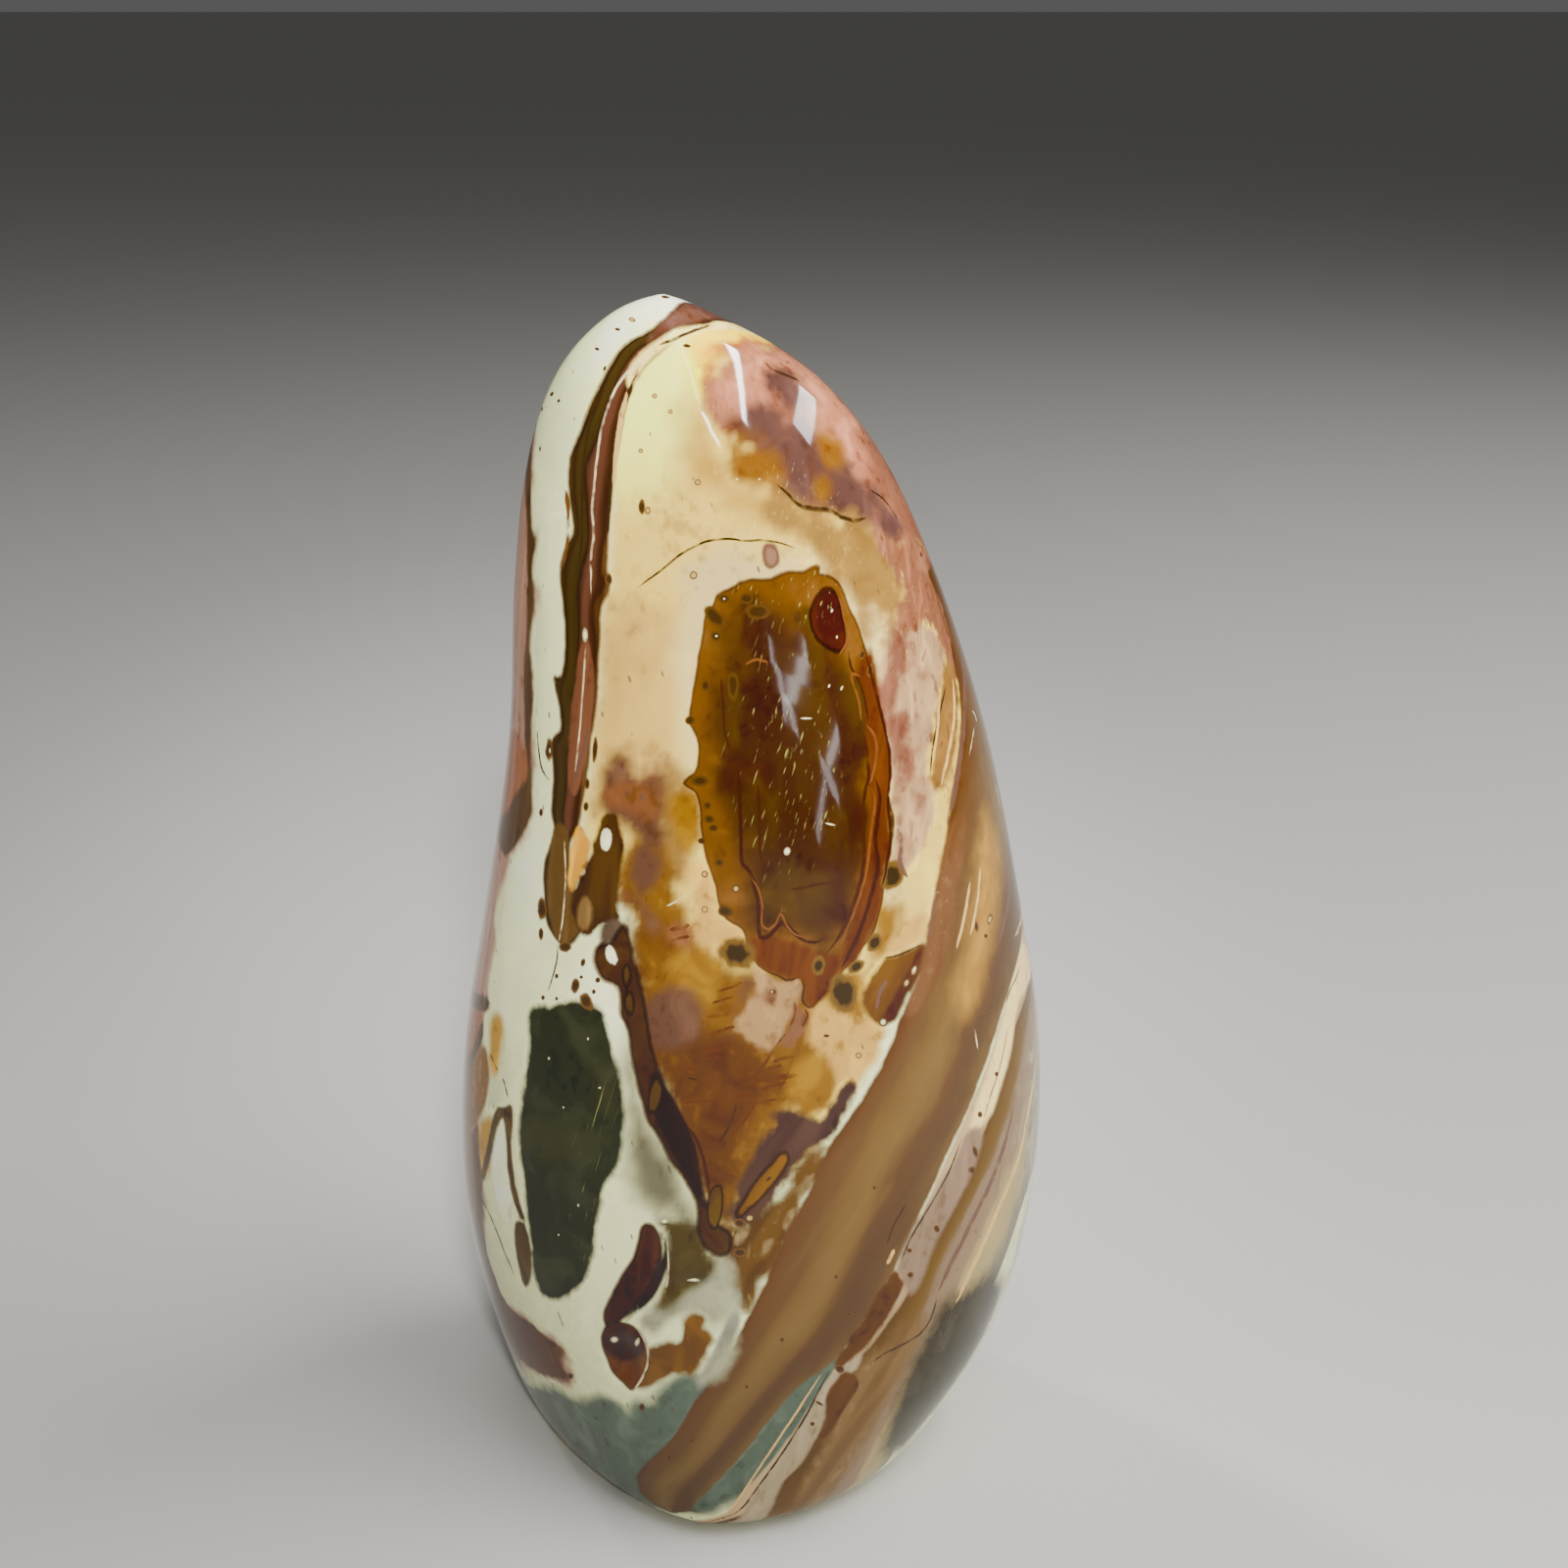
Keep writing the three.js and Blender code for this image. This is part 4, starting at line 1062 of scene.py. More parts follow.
# Spots: middle in pixels, width, height, lean in degrees. A rim is so many times as light as the core.
spotSets = {
    "brownSpots": {"core": "#4a2c14", "rim": 2.6, "light": (1.7, 0), "spots": [
        (553, 928, 10, 24, -4), (552, 953, 5, 12, 0), (595, 982, 5, 9, 15), (587, 1006, 9, 16, 12),
        (598, 1022, 12, 20, -25), (599, 800, 5, 11, 0), (598, 823, 5, 9, 5), (577, 966, 12, 10, 0),
        (552, 829, 4, 8, 0), (655, 517, 7, 16, 0), (679, 303, 9, 3, 8), (701, 353, 8, 4, 8),
        (579, 512, 5, 22, -8), (560, 765, 8, 22, 0), (607, 765, 5, 26, 4), (621, 591, 7, 12, 0),
        (996, 945, 5, 12, -10), (1000, 1137, 5, 6, 0), (995, 1175, 5, 12, -15), (992, 1194, 8, 8, 0),
        (956, 1254, 6, 8, -30), (928, 1276, 6, 5, 0), (929, 1301, 7, 7, 0), (1017, 1096, 4, 5, 0),
        (829, 1453, 5, 5, 0), (836, 1432, 10, 3, 30), (857, 1397, 10, 8, 20), (866, 1341, 7, 4, 8),
        (798, 1367, 5, 5, 0), (683, 1487, 4, 6, 0), (706, 1470, 3, 4, 0), (655, 1436, 6, 8, 0),
        (582, 1404, 6, 6, 0), (843, 1057, 6, 3, 0), (762, 1415, 4, 4, 0), (853, 1303, 4, 4, 0),
        (892, 1212, 4, 5, 0), (1005, 1032, 3, 6, 10), (593, 997, 4, 4, 0), (610, 1000, 5, 6, 0),
        (606, 1012, 4, 5, 0), (568, 996, 4, 6, 0), (554, 1018, 4, 5, 0), (568, 1019, 3, 4, 0),
        (630, 336, 6, 3, 10), (609, 356, 5, 3, 20), (617, 376, 3, 6, 20), (563, 402, 3, 5, 30),
        (570, 409, 3, 5, 30), (553, 417, 2, 5, 10), (551, 458, 2, 6, 0), (909, 839, 8, 22, 4),
        (880, 668, 5, 10, 20), (888, 684, 7, 14, 12), (755, 1248, 12, 9, 20), (790, 1012, 5, 5, 0),
        (755, 1278, 16, 9, 0), (1006, 955, 4, 5, 0), (784, 1203, 9, 4, -45),
    ]},
    "haloSpots": {"core": "#3d270c", "rim": 4.5, "light": (2, 0), "spots": [
        (911, 893, 26, 32, 10), (892, 962, 14, 20, 20), (752, 972, 40, 30, 18), (860, 1013, 30, 40, 0),
        (874, 986, 20, 12, -35), (835, 985, 14, 22, 0),
    ]},
    "eyeSmudges": {"core": "#4f2f0c", "rim": 1.9, "light": (2.2, 0), "spots": [
        (714, 797, 20, 12, 0), (704, 735, 10, 10, 0), (724, 836, 10, 8, 0), (722, 822, 8, 8, 0),
        (740, 930, 16, 12, 20), (730, 630, 14, 30, -45), (773, 624, 30, 16, 0), (731, 649, 12, 11, 0),
        (739, 611, 12, 10, 0), (762, 611, 14, 11, 0), (748, 700, 12, 30, 0), (720, 700, 8, 12, 0),
        (728, 845, 9, 7, 0), (716, 858, 7, 6, 0), (734, 880, 10, 9, 0),
    ]},
    "ringSpots": {"core": "#cbb48a", "rim": 0.12, "light": (2.1, 0), "spots": [
        (661, 521, 6, 8, 0), (712, 492, 6, 6, 0), (708, 587, 8, 8, 0), (645, 326, 8, 5, 20),
        (751, 907, 8, 8, 0), (719, 892, 7, 7, 0), (876, 1077, 6, 6, 0), (901, 1043, 9, 9, 0),
        (933, 990, 7, 12, 20), (925, 1003, 7, 10, 20), (654, 460, 5, 5, 0), (1010, 938, 5, 12, 12),
        (765, 1243, 8, 7, 0), (668, 404, 5, 5, 0), (684, 420, 5, 5, 0), (719, 928, 6, 6, 0),
    ]},
    # Painted glints: tiny pale spots in pits and fissures, along the chip's rim and in the eye.
    "glintSpots": {"core": "#dcd6c6", "rim": 0.42, "light": (2, 0), "spots": [
        (739, 611, 2.5, 2.5, 0), (762, 611, 3, 2.5, 0), (731, 649, 2.5, 2.5, 0), (752, 489, 2.5, 2, 0),
        (775, 489, 2.5, 2, 0), (849, 623, 2, 4, 20), (854, 650, 2, 4, 0), (803, 869, 6, 8, 20),
        (933, 989, 3, 7, 25), (901, 1043, 5, 6, 20), (667, 1243, 3, 4, 0), (708, 1306, 14, 3, 0),
        (650, 1370, 5, 8, 15), (627, 1367, 8, 6, 0), (846, 700, 2, 4, 20), (859, 702, 2, 5, 25),
        (678, 1246, 8, 5, 0), (597, 648, 6, 14, 0), (561, 766, 2, 6, 0), (560, 1080, 2, 3, 0),
        (600, 1060, 2, 3, 0), (575, 1130, 2, 2, 0), (612, 1110, 3, 2, 0), (590, 1230, 2, 3, 0),
        (570, 1260, 2, 2, 0), (788, 1012, 2, 2, 0), (847, 841, 10, 2, 12), (822, 733, 12, 2, 0),
    ]},
    "capsule": {"core": "#b08c74", "rim": 0.58, "light": (2.5, 0), "spots": [
        (787, 567, 18, 28, -6),
    ]},
}

camera = makeCamera()
stone = makeSkin()
unrolled = Unrolled(stone)
surveyor = Surveyor(unrolled, stone)


# Grains: scale in features per metre, detail, how far drawn out along a direction, warp
grains = {
    "broad": {"scale": 75, "detail": 3, "along": (0, 0, 1), "drawn": 0.3, "warp": 0.6},
    "medium": {"scale": 230, "detail": 3, "along": (0, 0, 1), "drawn": 0.2, "warp": 0.8},
    "fine": {"scale": 800, "detail": 2, "along": (0, 0, 1), "drawn": 0.2},
    "upright": {"scale": 620, "detail": 2, "along": (0.08, 0, 1), "drawn": 0.95},
    "bands": {"scale": 420, "detail": 2, "along": (0.55, 0.05, 0.83), "drawn": 0.94, "warp": 0.2},
    "slant": {"scale": 520, "detail": 2, "along": (0.20, 0.1, 0.97), "drawn": 0.85, "warp": 0.5},
}
strataGrains = ("upright", "bands", "slant")
# How much of the broad grain, of the medium one and of the strata shows in a marking
grainShares = {"broad": (1, 0, 0), "medium": (0, 1, 0), "swirl": (0.5, 0.8, 0)}
strataShare = (0, 0, 1)
edgeGrain = {"fine": 0.5, "medium": 0.6}  # what makes the edges of markings ragged

# How the finished picture turns light into colour: it draws channels together, bends them, then parts them
tone = {"pivot": 3.41, "power": 1.21, "blend": 0.374, "spread": 0.478, "darkest": 0.002, "lightest": 0.92}


def channelsOf(code):
    return np.array([int(code[i:i + 2], 16) / 255 for i in (1, 3, 5)])


def pigment(code, light=(1, 0)):
    # The reflectance that shows as the given hex colour where so much light and sheen fall
    scattered, sheen = light
    shown = channelsOf(code)
    bent = shown.mean() + (shown - shown.mean()) / (1 + tone["spread"])
    drawn = (bent / (tone["pivot"] * (1 - bent))) ** tone["power"]
    values = (drawn - tone["blend"] * drawn.mean()) / (1 - tone["blend"])
    return (*np.clip((values - sheen) / scattered, tone["darkest"], tone["lightest"]).tolist(), 1.0)


def colourOf(code):
    # A hex colour as a linear one
    shown = channelsOf(code)
    return (*np.where(shown <= 0.04045, shown / 12.92, ((shown + 0.055) / 1.055) ** 2.4).tolist(), 1.0)


laying = {
    "noRim": 0.001,  # the width, in millimetres, of an edge line that isn't there
    "softEnough": 0.65,  # markings softer than this, in millimetres, are blended into what lies below
    "fleckColour": "#6b4a2e",  # where a marking names none
}
# The unevenness of edges that are blended point by point
raggedness = {"scale": 150, "fall": 0.75, "step": 2.1, "octaves": 4, "strength": 1.8}


class Sheet:
    # Markings that lie apart, laid together: each point keeps the nearest one's edge and colours
    parts = ("Main", "Second", "Third")

    def __init__(self):
        count = len(stone.data.vertices)
        self.near = np.zeros(count, bool)
        self.depth = np.full(count, -surveyor.reach / mm)
        self.values = {part: np.zeros((count, 3)) for part in self.parts}
        self.ragged, self.soft = np.zeros(count), np.ones(count)
        self.rims = np.full(count, laying["noRim"])
        self.rimmed = False
        self.layered = []

    def looks(self, marking):
        return zip(self.parts, (pigment(code, marking["light"])[:3] for code in marking["colours"]))

    def take(self, marking, depth, near):
        self.near |= near
        if "ramp" in marking:
            self.layered.append(marking)
            storeValue(stone, marking["name"], depth)
            gaps = [surveyor.pastLine(line) for line in marking["lines"]]
            storeValue(stone, marking["name"] + "Place", surveyor.layerPlace(gaps))
            return
        closer = depth > self.depth
        self.depth[closer] = depth[closer]
        self.ragged[closer], self.soft[closer] = marking["ragged"], marking["soft"]
        self.rims[closer] = marking.get("rim", laying["noRim"])
        self.rimmed |= "rim" in marking
        for part, value in self.looks(marking):
            self.values[part][closer] = value

    def blend(self, marking, share):
        for part, value in self.looks(marking):
            self.values[part] += (np.array(value) - self.values[part]) * share[:, None]

    def store(self, title):
        for part, fourth in zip(self.parts, (self.depth, self.ragged, self.soft)):
            storeColour(stone, title + part, self.values[part], fourth)
        if self.rimmed:
            storeValue(stone, title + "Rim", self.rims)


def readMarking(name, grain, ragged, soft, light, colours, outlines, special={}):
    return {
        "name": name, "grain": grain, "ragged": ragged, "soft": soft, "light": light,
        "colours": colours.split(), "outlines": outlines, **special,
    }


def raggedEverywhere():
    scale, *shape = (raggedness[name] for name in ("scale", "fall", "step", "octaves"))
    rough = [noise.fractal(Vector(point) * scale, *shape) for point in readPoints(stone)]
    return np.array(rough) * raggedness["strength"]


def layMarkings():
    everywhere = np.ones(len(stone.data.vertices), bool)
    deepest = everywhere * surveyor.reach / mm
    listed = [readMarking(name, *row) for name, row in markings.items()]
    sheets = [Sheet()]
    sheets[0].take(listed[0], deepest, everywhere)
    ramped = ~everywhere
    amount, tint, strata, grain = (np.zeros((len(everywhere), 3)) for _ in range(4))
    strata[:, 2] = 1
    ragged = raggedEverywhere()
    for marking in listed:
        soft = marking["soft"]
        depth = surveyor.depthIn(marking["outlines"]) / mm if marking["outlines"] else deepest
        near = depth > -(marking["ragged"] + soft + sheetGap)
        if marking is listed[0]:
            pass
        elif soft > laying["softEnough"] and not (near & ramped).any():
            share = np.clip((depth + marking["ragged"] * ragged) / soft / 2 + 0.5, 0, 1)
            for sheet in sheets:
                sheet.blend(marking, share * share * (3 - 2 * share))
        else:
            level = max(k + 1 for k, sheet in enumerate(sheets) if (sheet.near & near).any())
            if level == len(sheets):
                sheets.append(Sheet())
            sheets[level].take(marking, depth, near)
        if "ramp" in marking:
            ramped |= near
        if "flecks" in marking or soft <= laying["softEnough"]:
            amount[depth > 0] = marking.get("flecks", (0, 0, 0))
            fleck = marking.get("fleckColour", laying["fleckColour"])
            tint[depth > 0] = pigment(fleck, marking["light"])[:3]
        if marking["grain"] in strataGrains:
            strata[near] = [marking["grain"] == name for name in strataGrains]
        grain[depth > -soft] = grainShares.get(marking["grain"], strataShare)
    for k, sheet in enumerate(sheets):
        sheet.store(f"sheet{k}")
    for name, values in (("fleckAmount", amount), ("fleckTint", tint), ("strata", strata), ("grain", grain)):
        storeVector(stone, name, values)
    storeValue(stone, "scratched", surveyor.depthIn(scratches["patches"]) / mm)
    print("markings laid:", len(listed), "on", len(sheets), "sheets")
    return sheets


def layFinish(title, pieces):
    # Spots or lines, spread over as many sheets as keep them apart. A piece is its places and its looks.
    sheets = []
    for places, looks in pieces:
        near = places[:, 2] < finishReach
        free = [sheet for sheet in sheets if not (sheet["near"] & near).any()]
        if not free:
            farOff = np.tile([*nowhere, 0], (len(places), 1))
            free = [{"near": np.zeros(len(places), bool), "Place": farOff}]
            for part in looks:
                free[0].setdefault(part, np.zeros((len(places), 4)))
            sheets.append(free[0])
        free[0]["near"] |= near
        free[0]["Place"][near, :3] = places[near]
        for part, value in looks.items():
            free[0][part][near, -len(value):] = value
    for k, sheet in enumerate(sheets):
        for part in sheet:
            if part != "near":
                storeColour(stone, f"{title}{k}{part}", sheet[part][:, :3], sheet[part][:, 3])
    print(title, "sheets:", len(sheets))
    return len(sheets)


def spotPieces():
    for family in spotSets.values():
        looks = {"Core": (*pigment(family["core"], family["light"])[:3], family["rim"])}
        for spot in family["spots"]:
            yield surveyor.spotPlace(spot), looks


def linePieces():
    for family in lineSets.values():
        colour = pigment(family["colour"], family["light"])[:3]
        looks = {"Colour": (*colour, family.get("strength", 1)), "Place": (family["broken"],)}
        for width, pixels in family["lines"]:
            yield surveyor.linePlace(width, pixels), looks


class Tree:
    # Adds nodes to a node tree and links them
    columns = 24  # nodes side by side, as the tree is laid out

    def __init__(self, tree):
        self.tree = tree
        self.column = 0

    def add(self, kind, settings=None, **inputs):
        node = self.tree.nodes.new(kind)
        self.column += 1
        node.location = (180 * (self.column % self.columns), -260 * (self.column // self.columns))
        for name, value in (settings or {}).items():
            setattr(node, name, value)
        for name, value in inputs.items():
            self.fill(node.inputs[name.replace("_", " ")], value)
        return node

    def fill(self, socket, value):
        if isinstance(value, bpy.types.NodeSocket):
            self.tree.links.new(value, socket)
        else:
            socket.default_value = value

    def use(self, group, **inputs):
        return self.add("ShaderNodeGroup", {"node_tree": group}, **inputs).outputs

    def maths(self, operation, first, second=0.0, third=0.0):
        node = self.add("ShaderNodeMath", {"operation": operation})
        for socket, value in zip(node.inputs, (first, second, third)):
            self.fill(socket, value)
        return node.outputs[0]

    def vectorMaths(self, operation, first, second=None, **inputs):
        node = self.add("ShaderNodeVectorMath", {"operation": operation}, **inputs)
        self.fill(node.inputs[0], first)
        if second:
            self.fill(node.inputs[1], second)
        return node.outputs["Value" if operation == "DOT_PRODUCT" else "Vector"]

    def smoothStep(self, value, low, high):
        # Low may lie above high. A smooth step stays between 0 and 1 without clamping.
        settings = {"interpolation_type": "SMOOTHSTEP", "clamp": False}
        node = self.add("ShaderNodeMapRange", settings, Value=value)
        self.fill(node.inputs["From Min"], low)
        self.fill(node.inputs["From Max"], high)
        return node.outputs["Result"]

    def read(self, name):
        return self.add("ShaderNodeAttribute", {"attribute_name": name}).outputs

    def ramp(self, value, stops, light):
        node = self.add("ShaderNodeValToRGB", Fac=value)
        elements = node.color_ramp.elements
        while len(elements) < len(stops):
            elements.new(0.5)
        for element, (position, code) in zip(elements, stops):
            element.position = position
            element.color = pigment(code, light)
        return node.outputs["Color"]

    def mix(self, share, under, over, blend="MIX"):
        # Mix nodes carry several sockets of one name, so each is found by its type too
        node = self.add("ShaderNodeMix", {"data_type": "RGBA", "blend_type": blend})
        factor = [socket for socket in node.inputs if socket.name == "Factor" and socket.type == "VALUE"][0]
        colours = [socket for socket in node.inputs if socket.type == "RGBA"]
        for socket, value in zip((factor, *colours), (share, under, over)):
            self.fill(socket, value)
        return [socket for socket in node.outputs if socket.type == "RGBA"][0]


def newGroup(name, inputs, outputs):
    # Inputs are given by name, with a number, a triple for a place, or nothing for a colour
    kinds = {type(None): "Color", tuple: "Vector", int: "Float", float: "Float"}
    group = bpy.data.node_groups.new(name, "ShaderNodeTree")
    for label, value in inputs.items():
        kind = "NodeSocket" + kinds[type(value)]
        socket = group.interface.new_socket(label, in_out="INPUT", socket_type=kind)
        if value is not None:
            socket.default_value = value
    for label in outputs:
        kind = "NodeSocketColor" if label == "Colour" else "NodeSocketFloat"
        group.interface.new_socket(label, in_out="OUTPUT", socket_type=kind)
    tree = Tree(group)
    return group, tree, tree.add("NodeGroupInput").outputs, tree.add("NodeGroupOutput").inputs


def makeEdgeGroup():
    # Where a marking covers
    inputs = {"Depth": 0, "Noise": 0, "Ragged": 0.3, "Soft": 0.3}
    group, tree, given, result = newGroup("Marking edge", inputs, ["Mask"])
    depth = tree.maths("MULTIPLY_ADD", given["Noise"], given["Ragged"], given["Depth"])
    outside = tree.maths("MULTIPLY", given["Soft"], -1)
    tree.fill(result["Mask"], tree.smoothStep(depth, outside, given["Soft"]))
    return group


# What an edge line does to the colour, and how far out, in its widths, it does so fully
rim = {"shade": (0.34, 0.27, 0.24, 1), "full": 0.25}


def makeRimGroup():
    # The thin darker line along a marking's edge
    inputs = {"Under": None, "Depth": 0, "Noise": 0, "Ragged": 0.3, "Width": 0.3}
    group, tree, given, result = newGroup("Marking rim", inputs, ["Colour"])
    depth = tree.maths("MULTIPLY_ADD", given["Noise"], given["Ragged"], given["Depth"])
    away = tree.maths("DIVIDE", tree.maths("ABSOLUTE", depth), given["Width"])
    share = tree.smoothStep(away, 1.0, rim["full"])
    tree.fill(result["Colour"], tree.mix(share, given["Under"], rim["shade"], "MULTIPLY"))
    return group


# Where in the grain a marking's second and third colours begin, and where they cover
mottle = {"Second share": (-0.15, 0.75), "Third share": (0.25, 1.3)}


def makeShareGroup():
    # How much of a marking's second and third colour shows, by two grains
    group, tree, given, result = newGroup("Colour shares", {"Coarse": 0, "Fine": 0}, list(mottle))
    apart = tree.maths("SUBTRACT", given["Fine"], given["Coarse"])
    for (label, bounds), grain in zip(mottle.items(), (given["Coarse"], apart)):
        tree.fill(result[label], tree.smoothStep(grain, *bounds))
    return group


def makeSheetGroup(edgeGroup):
    # One sheet of markings over what lies under it
    colours = dict.fromkeys(("Under", *Sheet.parts))
    numbers = dict.fromkeys(("Depth", "Ragged", "Soft", *mottle, "Edge noise"), 0)
    group, tree, given, result = newGroup("Painted sheet", {**colours, **numbers}, ["Colour"])
    edge = {name: given[name] for name in ("Depth", "Ragged", "Soft")}
    mask = tree.use(edgeGroup, Noise=given["Edge noise"], **edge)["Mask"]
    mixed = given["Main"]
    for part in Sheet.parts[1:]:
        mixed = tree.mix(given[part + " share"], mixed, given[part])
    tree.fill(result["Colour"], tree.mix(mask, given["Under"], mixed))
    return group


def readSheet(title, sheetGroup, rimGroup):
    # A sheet's own group, which reads what its vertices hold and paints it over what lies under
    labels = (*mottle, "Edge noise")
    inputs = {"Under": None, **dict.fromkeys(labels, 0)}
    group, tree, given, result = newGroup(f"Reading {title}", inputs, ["Colour"])
    painted = {label.replace(" ", "_"): given[label] for label in inputs}
    for part, fourth in zip(Sheet.parts, ("Depth", "Ragged", "Soft")):
        held = tree.read(title + part)
        painted[part], painted[fourth] = held["Color"], held["Alpha"]
    colour = tree.use(sheetGroup, **painted)["Colour"]
    if rimGroup:
        edge = {"Depth": painted["Depth"], "Noise": given["Edge noise"], "Ragged": painted["Ragged"]}
        colour = tree.use(rimGroup, Under=colour, Width=tree.read(title + "Rim")["Fac"], **edge)["Colour"]
    tree.fill(result["Colour"], colour)
    return group


grainContrast = 3.6  # how far a grain is spread about nought, so that it runs from about -1 to 1
placeInputs = {"Turn": (0, 0, 0), "Stretch": (1, 1, 1), "Scale": 100.0}


def addPlace(tree, given):
    # The place on the stone, turned and drawn together, so that what is laid there comes out long
    place = tree.add("ShaderNodeTexCoord").outputs["Object"]
    node = tree.add("ShaderNodeMapping", {"vector_type": "TEXTURE"}, Vector=place)
    tree.fill(node.inputs["Rotation"], given["Turn"])
    tree.fill(node.inputs["Scale"], given["Stretch"])
    return node.outputs["Vector"]


def turnAndStretch(along, drawn):
    # What the place needs so that things come out long in a direction
    return {"Turn": Vector(along).to_track_quat("Z", "Y").to_euler(), "Stretch": (1, 1, 1 / (1 - drawn))}


def makeGrainGroup():
    inputs = {**placeInputs, "Detail": 3.0, "Warp": 0.0}
    group, tree, given, result = newGroup("Stone grain", inputs, ["Value"])
    clouds = tree.add(
        "ShaderNodeTexNoise", Scale=given["Scale"], Detail=given["Detail"], Distortion=given["Warp"],
        Vector=addPlace(tree, given),
    )
    value = tree.maths("MULTIPLY_ADD", clouds.outputs[0], grainContrast, -grainContrast / 2)
    tree.fill(result["Value"], value)
    return group


fading = (finishReach - 0.4, finishReach - 0.8)  # a spot or line goes out between these, in millimetres
lineShape = {"blunt": 8, "wander": 0.4, "edge": (0.25, -0.45)}
spotShape = {"wander": 0.22, "rim": (1.15, 0.8), "core": (0.75, 0.45)}
fleckShape = {"wander": 0.4, "least": 0.5, "edge": 0.5}


def makeLineGroup():
    # A thin line that runs out at both ends and is broken by the grain
    group, tree, given, result = newGroup("Thin line", {"Place": None, "Noise": 0, "Broken": 0.3}, ["Mask"])
    across, along, away = tree.add("ShaderNodeSeparateColor", Color=given["Place"]).outputs
    ends = tree.maths("MULTIPLY", along, tree.maths("SUBTRACT", 1, along))
    ends = tree.maths("MAXIMUM", tree.maths("MULTIPLY", ends, lineShape["blunt"]), 0)
    width = tree.maths("SQRT", tree.maths("MINIMUM", ends, 1))
    across = tree.maths("MULTIPLY_ADD", given["Noise"], lineShape["wander"], across)
    outside = tree.maths("SUBTRACT", tree.maths("ABSOLUTE", across), width)
    body = tree.smoothStep(outside, *lineShape["edge"])
    gone = tree.maths("MULTIPLY_ADD", given["Broken"], 2, -2.0)
    kept = tree.smoothStep(given["Noise"], gone, given["Broken"])
    for share in (tree.smoothStep(away, *fading), kept):
        body = tree.maths("MULTIPLY", body, share)
    tree.fill(result["Mask"], body)
    return group


def makeSpotGroup():
    # A spot's rim and core
    group, tree, given, result = newGroup("Small spot", {"Place": None, "Noise": 0}, ["Rim", "Core"])
    x, y, away = tree.add("ShaderNodeSeparateColor", Color=given["Place"]).outputs
    radius = tree.maths("SQRT", tree.maths("MULTIPLY_ADD", y, y, tree.maths("MULTIPLY", x, x)))
    radius = tree.maths("MULTIPLY_ADD", given["Noise"], spotShape["wander"], radius)
    close = tree.smoothStep(away, *fading)
    for label in ("Rim", "Core"):
        body = tree.smoothStep(radius, *spotShape[label.lower()])
        tree.fill(result[label], tree.maths("MULTIPLY", body, close))
    return group


def makeFleckGroup():
    # Small flecks, scattered unevenly
    inputs = {**placeInputs, "Size": 0.1, "Share": 0.5, "Noise": 0}
    group, tree, given, result = newGroup("Flecks", inputs, ["Mask"])
    place = addPlace(tree, given)
    cells = tree.add("ShaderNodeTexVoronoi", {"feature": "F1"}, Vector=place, Scale=given["Scale"]).outputs
    chance, growth, _ = tree.add("ShaderNodeSeparateColor", Color=cells["Color"]).outputs
    size = tree.maths("MULTIPLY", given["Size"], tree.maths("ADD", growth, fleckShape["least"]))
    wander = tree.maths("MULTIPLY", size, fleckShape["wander"])
    distance = tree.maths("MULTIPLY_ADD", given["Noise"], wander, cells["Distance"])
    body = tree.smoothStep(distance, size, tree.maths("MULTIPLY", size, fleckShape["edge"]))
    tree.fill(result["Mask"], tree.maths("MULTIPLY", body, tree.maths("LESS_THAN", chance, given["Share"])))
    return group


def readSpots(title, spotGroup):
    # One sheet of spots over what lies under it
    group, tree, given, result = newGroup(f"Reading {title}", {"Under": None, "Noise": 0}, ["Colour"])
    spot = tree.use(spotGroup, Place=tree.read(title + "Place")["Color"], Noise=given["Noise"])
    core = tree.read(title + "Core")
    lighter = tree.maths("SUBTRACT", 1, core["Alpha"])
    shade = tree.maths("MULTIPLY_ADD", spot["Core"], lighter, core["Alpha"])
    shaded = tree.vectorMaths("SCALE", core["Color"], Scale=shade)
    tree.fill(result["Colour"], tree.mix(spot["Rim"], given["Under"], shaded))
    return group


def readLines(title, lineGroup):
    # One sheet of thin lines over what lies under it
    group, tree, given, result = newGroup(f"Reading {title}", {"Under": None, "Noise": 0}, ["Colour"])
    place, tint = tree.read(title + "Place"), tree.read(title + "Colour")
    line = tree.use(lineGroup, Place=place["Color"], Noise=given["Noise"], Broken=place["Alpha"])
    mask = tree.maths("MULTIPLY", line["Mask"], tint["Alpha"])
    tree.fill(result["Colour"], tree.mix(mask, given["Under"], tint["Color"]))
    return group


# Flecks: each kind's lean, how far drawn out, scale in features per metre, size and share
fleckKinds = [
    ((-0.30, 0, 0.95), 0.72, 780, 0.10, 0.75),  # dashes
    ((0.20, 0, 0.98), 0.5, 1150, 0.20, 0.45),  # grit
]
smears = (0.62, 0.85)  # where the slant grain shows as smears
scratches = {
    "along": (0.30, 0.05, 0.95), "drawn": 0.992, "scale": 3400, "colour": "#e9dcc0", "light": (2.2, 0),
    "shown": (0.45, 1.0), "fading": (-1.5, 2.5), "strength": 0.3,
    "patches": [
        (812, 560, 150, 170, 0), (800, 790, 120, 220, 0), (650, 600, 60, 120, 0), (930, 640, 60, 120, 0),
        (945, 930, 60, 110, 0), (700, 400, 80, 120, 0), (610, 1200, 60, 200, 0),
    ],
}
polish = {
    "roughness": 0.055,
    "bending": 1.42,  # the index of refraction
    "waves": 0.010,  # how far the polished skin rises and falls, in millimetres
    "unevenness": 0.07,  # how much lighter or darker the stone is in places
    "clouding": 0.6,  # the medium grain's part in that
    "under": "#808080",
}


